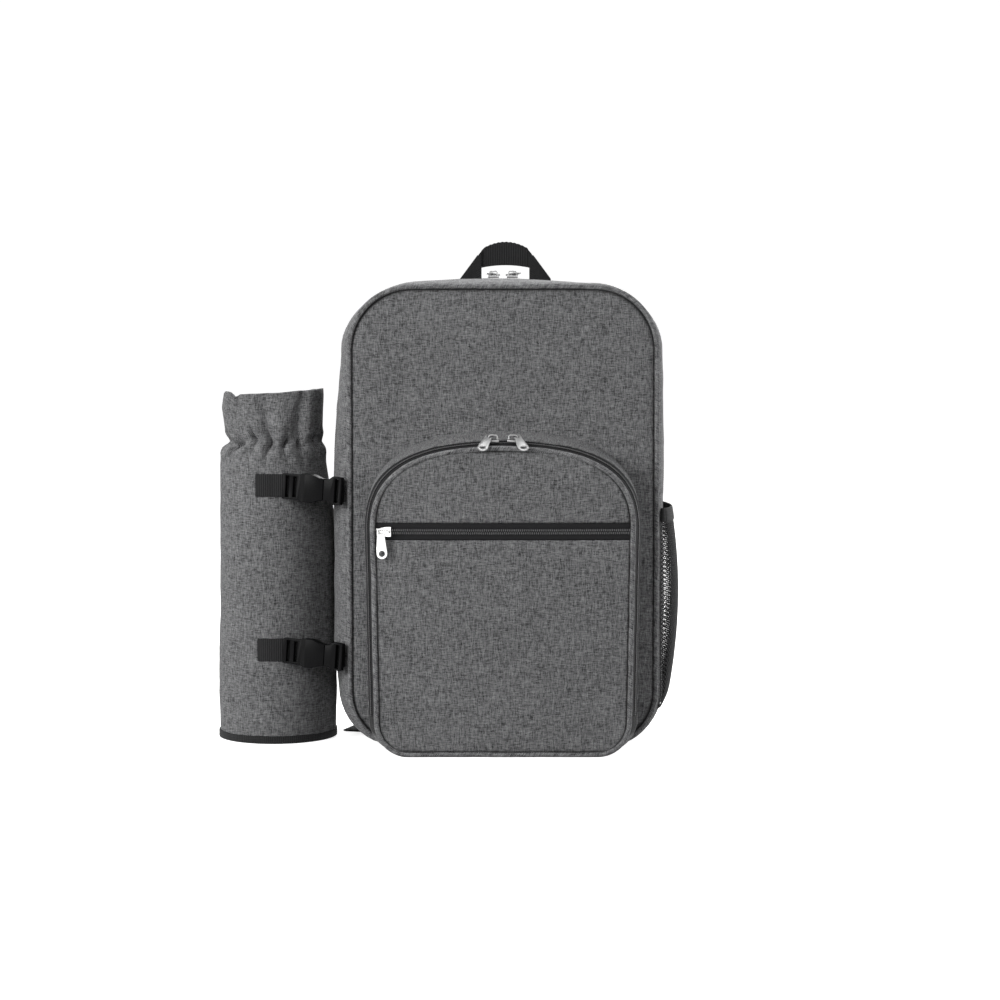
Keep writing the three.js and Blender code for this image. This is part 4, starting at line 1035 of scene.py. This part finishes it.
def sleevePoint(turn, share):
    tall = sleeveSet["height"]
    upCollar = clamp((share - sleeveSet["collarFoot"]) / (1 - sleeveSet["collarFoot"]))
    z = share * tall + (rimAt(turn) - tall) * upCollar
    nearNeck = hump(z, sleeveSet["neck"], 22)
    drift = nearNeck * 11 * waver(math.sin(turn) * 42, math.cos(turn) * 42, z, 13, 3.3)
    crease, rise, strength = gathers(turn, drift)
    line = sleeveSet["neck"] + rise
    at = z - rise * hump(z, line, 16)
    radius, depth, shift, flat = (linearBetween(sections, at, column) for column in (1, 2, 3, 4))
    below, above = clamp((line - z) / 1.0), clamp((z - line) / 1.0)
    reach = 0.42 * hump(z, line - 6, 9) * below + 0.4 * hump(z, line + 7, 10) * above
    tight = strength * sleeveSet["pitDepth"] * (hump(z, line, 4) + reach)
    inward = tight * crease - 1.3 * (1 - crease) * (hump(z, line - 7, 6) + hump(z, line + 6, 5))
    ahead, side = math.cos(turn), math.sin(turn)
    if z > line:
        lean = (z - line) / 45
        fade = clamp((z - line) / 8) * clamp(1.35 - lean * 0.85)
        if ahead > 0:
            valleys = 5.4 * hump(side, -0.02 - 0.08 * lean, 0.11) + 6.2 * hump(side, 0.47 + 0.16 * lean, 0.11)
            ridges = 1.6 * hump(side, 0.19, 0.12) + 1.3 * hump(side, 0.76, 0.1) + 0.8 * hump(side, -0.3, 0.16)
            inward += clamp((z - 288) / 16) * (2.6 * hump(side, -0.62, 0.035) - 1.8 * hump(side, -0.78, 0.12))
        else:
            valleys = 4.0 * (hump(side, -0.35, 0.14) + hump(side, 0.3, 0.16))
            ridges = 1.2 * hump(side, 0, 0.2)
        inward += fade * (valleys - ridges)
    soft = 0.9 * waver(side * 40, ahead * 40, z, 46, 5.0) + 0.3 * waver(side * 50, ahead * 50, z, 14, 2.0)
    size = sleeveSet["radius"] * radius + soft * clamp(z / 26) - inward
    x = size * bend(side, mix(1, 0.86, flat)) + shift * sleeveSet["radius"]
    return Vector((sleeveX + x, -size * depth * bend(ahead, mix(1, 0.72, flat)), z))


sleeve = sheetMesh(
    264, 180, lambda u, v: sleevePoint((u - 0.5) * 2 * math.pi, v),
    lambda u, v: (u * 320, v * sleeveSet["height"]),
)
openings = [edge for edge in sleeve.edges if edge.is_boundary]
sleeveFloor = [edge for edge in openings if max(vert.co.z for vert in edge.verts) < 0.05 * mm]
bmesh.ops.holes_fill(sleeve, edges=sleeveFloor, sides=0)
sleevePiece = pieceFrom("bottle_sleeve_cloth", sleeve, "cloth foil", ["bottle_sleeve"])
giveWall(sleevePiece, sleeveSet["wall"], inner=1)


def footBinding(u, v):
    turn, around = (u - 0.5) * 2 * math.pi, 2 * math.pi * v
    middle = sleeveSet["radius"] + seam + sleeveSet["bindingWall"] / 2
    high, thick = sleeveSet["bindingHeight"] / 2, sleeveSet["bindingWall"] / 2
    x, y = math.sin(turn), math.cos(turn)
    rise = 0.8 * waver(x * 40, y * 40, 0, 20, 8.0) * (1 + math.sin(around)) / 2
    reach = middle + thick * bend(math.cos(around), 0.5) + 0.5 * waver(x * 40, y * 40, 3, 16, 1.0)
    return Vector((sleeveX + reach * x, -reach * y, high + high * bend(math.sin(around), 0.5) + rise * 0.5))


pieceFrom(
    "bottle_foot_binding", sheetMesh(160, 16, footBinding, lambda u, v: (u * 330, v * 18)),
    "webbing", ["bottle_binding"],
)
print("bottle holder made")

# ---- buckled straps ----
strapSet = {
    "upper": 229, "lower": 84, "tilt": 4, "patch": 26, "ladder": 17, "clip": 17, "body": 40,
    "inset": 1.5, "reach": 11, "upperShare": 0.981, "lowerShare": 0.991, "ladderThick": 4, "clipThick": 5.5,
}
up = Vector((0, 0, 1))
leftSide = {"x": -bodySet["width"] / 2, "z": 0, "nx": -1, "nz": 0}
for word in ("upper", "lower"):
    height = strapSet[word]
    surface = sleeveSet["radius"] * strapSet[word + "Share"] + seam + webSet["thick"] / 2
    patchTurn = strapSet["patch"] / surface

    def onSleeve(turn):
        reach = sleeveSet["radius"] * linearBetween(sections, height, 1) + webSet["thick"] / 2
        middle = sleeveX + sleeveSet["radius"] * linearBetween(sections, height, 3)
        return Vector((middle + reach * math.sin(turn), -reach * math.cos(turn), height))

    start = Vector((
        sleeveX + surface * math.sin(patchTurn * 0.4), -surface * math.cos(patchTurn * 0.4), height,
    ))
    frontEdge = Vector((-bodySet["width"] / 2, frontPipeY - pipeRadius, height))
    aim = Vector((frontEdge.x - start.x, frontEdge.y - start.y, 0)).normalized()
    back = Vector((-aim.y, aim.x, 0))
    stand = (strapSet["ladderThick"] + webSet["thick"]) / 2 + seam
    tongue = [start + aim * (strapSet["ladder"] * share) for share in (0.35, 0.8)]
    patch = [onSleeve(patchTurn * share) for share in (-0.5, -0.28, -0.05, 0.15)]
    stripPiece(f"{word}_patch_webbing", patch + tongue, 44, up, [f"{word}_patch"])
    origin = start + aim * strapSet["inset"] - back * stand
    socketLength = strapSet["body"] + strapSet["ladder"] - strapSet["clip"] - seam
    drop = -math.tan(math.radians(strapSet["tilt"])) * (socketLength + strapSet["clip"])
    behind = back * ((strapSet["clipThick"] + webSet["thick"]) / 2 + 2 * seam)
    underClip = [origin + aim * (socketLength + strapSet["clip"] * share) + behind for share in (0.35, 0.8)]
    for point in underClip:
        point.z = height + drop
    alongSide = []
    for share in (0.35, 1):
        y = gussetFront + strapSet["reach"] * share
        point = bodySide(leftSide, y, 2 * seam + webSet["thick"] / 2)
        point.z = height + drop
        alongSide.append(point)
    stripPiece(f"{word}_tab_webbing", underClip + alongSide, 24, up, [f"{word}_tab"])
print("buckled straps made")

# ---- shoulder straps behind ----
shoulderSet = {"width": 58, "thick": 9, "spread": 96, "reach": 52, "adjuster": 22}
shoulderRows = [
    (0.94, 0, 0.5), (0.87, 0.22, 0.52), (0.74, 0.78, 0.58), (0.58, 1, 0.68), (0.43, 0.8, 0.82),
    (0.33, 0.4, 0.95),
]
webbingRows = [(0.15, 0.16, 1.08), (0.03, 0.012, 1.18)]
tailRows = {
    "left": [
        (0.12, 1.07, -0.19), (0.025, 1.14, -0.15), (0.003, 1.19, -0.08), (0, 1.24, 0), (0, 1.33, 0.2),
        (0, 1.42, 0.4),
    ],
    "right": [
        (0.12, 1.05, -0.21), (0.025, 1.02, -0.31), (0.003, 1.03, -0.37), (0, 1.04, -0.5), (0, 1.05, -0.62),
    ],
}
sideways = Vector((1, 0, 0))


def strapPad(name, points, nodes):
    cells, turns = 70, 28
    route, length = smoothRoute(points, cells)

    def place(u, v):
        i = round(u * cells)
        along = (route[min(i + 1, cells)] - route[max(i - 1, 0)]).normalized()
        side = (sideways - along * sideways.dot(along)).normalized()
        face = along.cross(side)
        turn = 2 * math.pi * v
        w, h = bend(math.cos(turn), 0.35), bend(math.sin(turn), 0.6)
        endRound = 1 - 0.5 * hump(u, 0, 0.012) - 0.5 * hump(u, 1, 0.012)
        width = shoulderSet["width"] * mix(1, 0.72, clamp((u - 0.8) / 0.2))
        thick = shoulderSet["thick"] * endRound * (1 - 0.45 * hump(abs(w), 0.88, 0.05))
        return route[i] + side * (w * width / 2) + face * (h * thick / 2)

    mesh = sheetMesh(cells, turns, place, lambda u, v: (u * length, v * 130))
    piece = pieceFrom(name, closeEnds(mesh), "cloth", nodes)
    return piece


for word, sign in (("left", -1), ("right", 1)):
    def backAt(row, thick):
        rise, off, out = row
        return Vector((
            sign * out * shoulderSet["spread"], bodyBack + seam + thick / 2 + off * shoulderSet["reach"],
            rise * bodySet["height"],
        ))

    padRoute = [backAt(row, shoulderSet["thick"]) for row in shoulderRows]
    strapPad(f"shoulder_pad_{word}", padRoute, [f"shoulder_strap_{word}"])
    fall = (padRoute[-1] - padRoute[-2]).normalized()
    footPoint = padRoute[-1] + fall * (4 * seam + shoulderSet["adjuster"])
    leaving = footPoint + fall * webSet["thick"]
    lower = [backAt(row, bodySet["pipingProud"] * 2 + webSet["thick"]) for row in webbingRows]
    stripPiece(f"webbing_{word}", [footPoint, leaving, *lower], 40, sideways, [f"strap_webbing_{word}"])
    rearward = Vector((0, 1, 0))
    beside = (rearward - fall * fall.y).normalized() * (webSet["thick"] + 2 * seam)
    onFloor = [
        Vector((
            sign * out * shoulderSet["spread"], bodyBack - ahead * bodySet["depth"],
            rise * bodySet["height"] + webSet["thick"] / 2 + seam,
        ))
        for rise, out, ahead in tailRows[word]
    ]
    tailRoute = [footPoint + beside, leaving + beside, *onFloor]
    stripPiece(f"tail_{word}", tailRoute, 60, sideways, [f"strap_tail_{word}"])
print("shoulder straps made")

# ---- room ----
roomSet = {
    "floorTone": 0.8, "floorGlow": 0.8, "world": 0.2,
    "key": {"place": (-2.35, -1.75, 1.1), "size": 1.3, "watts": 86},
    "fill": {"place": (2.1, -1.9, 1.0), "size": 1.4, "watts": 17},
    "rimRight": {"place": (2.1, 0.5, 0.8), "size": 1.4, "watts": 35},
    "rimLeft": {"place": (-2.2, 0.5, 0.8), "size": 1.4, "watts": 12},
    "top": {"place": (0, 0.8, 2.1), "size": 1.5, "watts": 46},
    "front": {"place": (0.3, -3.3, 1.6), "size": 2.0, "watts": 18},
    "rear": {"place": (0.6, 2.6, 1.4), "size": 1.6, "watts": 30},
}
floor = bmesh.new()
bmesh.ops.create_grid(floor, x_segments=1, y_segments=1, size=9)
raised = bmesh.ops.extrude_edge_only(floor, edges=floor.edges[:])["geom"]
corners = [item for item in raised if isinstance(item, bmesh.types.BMVert)]
bmesh.ops.translate(floor, vec=(0, 0, 9), verts=corners)
data = bpy.data.meshes.new("floor")
floor.to_mesh(data)
floor.free()
floorPiece = bpy.data.objects.new("floor", data)
scene.collection.objects.link(floorPiece)
paper = Finish("floor paper", Roughness=0.9, Emission_Strength=roomSet["floorGlow"])
grain = paper.noiseAt(paper.objectPlace(), 30.0, 3.0)
paper.set(Base_Color=paper.tint(grain, [roomSet["floorTone"]] * 3, [roomSet["floorTone"] + 0.02] * 3))
paper.set(Emission_Color=(1, 1, 1))
data.materials.append(paper.material)
floorPiece.visible_diffuse = False

world = bpy.data.worlds.new("room")
world.use_nodes = True
world.node_tree.nodes["Background"].inputs["Color"].default_value = (1, 1, 1, 1)
world.node_tree.nodes["Background"].inputs["Strength"].default_value = roomSet["world"]
scene.world = world
scene.view_settings.view_transform = "Standard"

for name in ("key", "fill", "rimRight", "rimLeft", "top", "front", "rear"):
    values = roomSet[name]
    lamp = bpy.data.lights.new(name, "AREA")
    lamp.shape, lamp.size, lamp.energy = "SQUARE", values["size"], values["watts"]
    light = bpy.data.objects.new(name, lamp)
    light.location = values["place"]
    aimAt = Vector((-0.05, 0, 0.2)) - Vector(values["place"])
    light.rotation_euler = aimAt.to_track_quat("-Z", "Y").to_euler()
    scene.collection.objects.link(light)
print("room made")
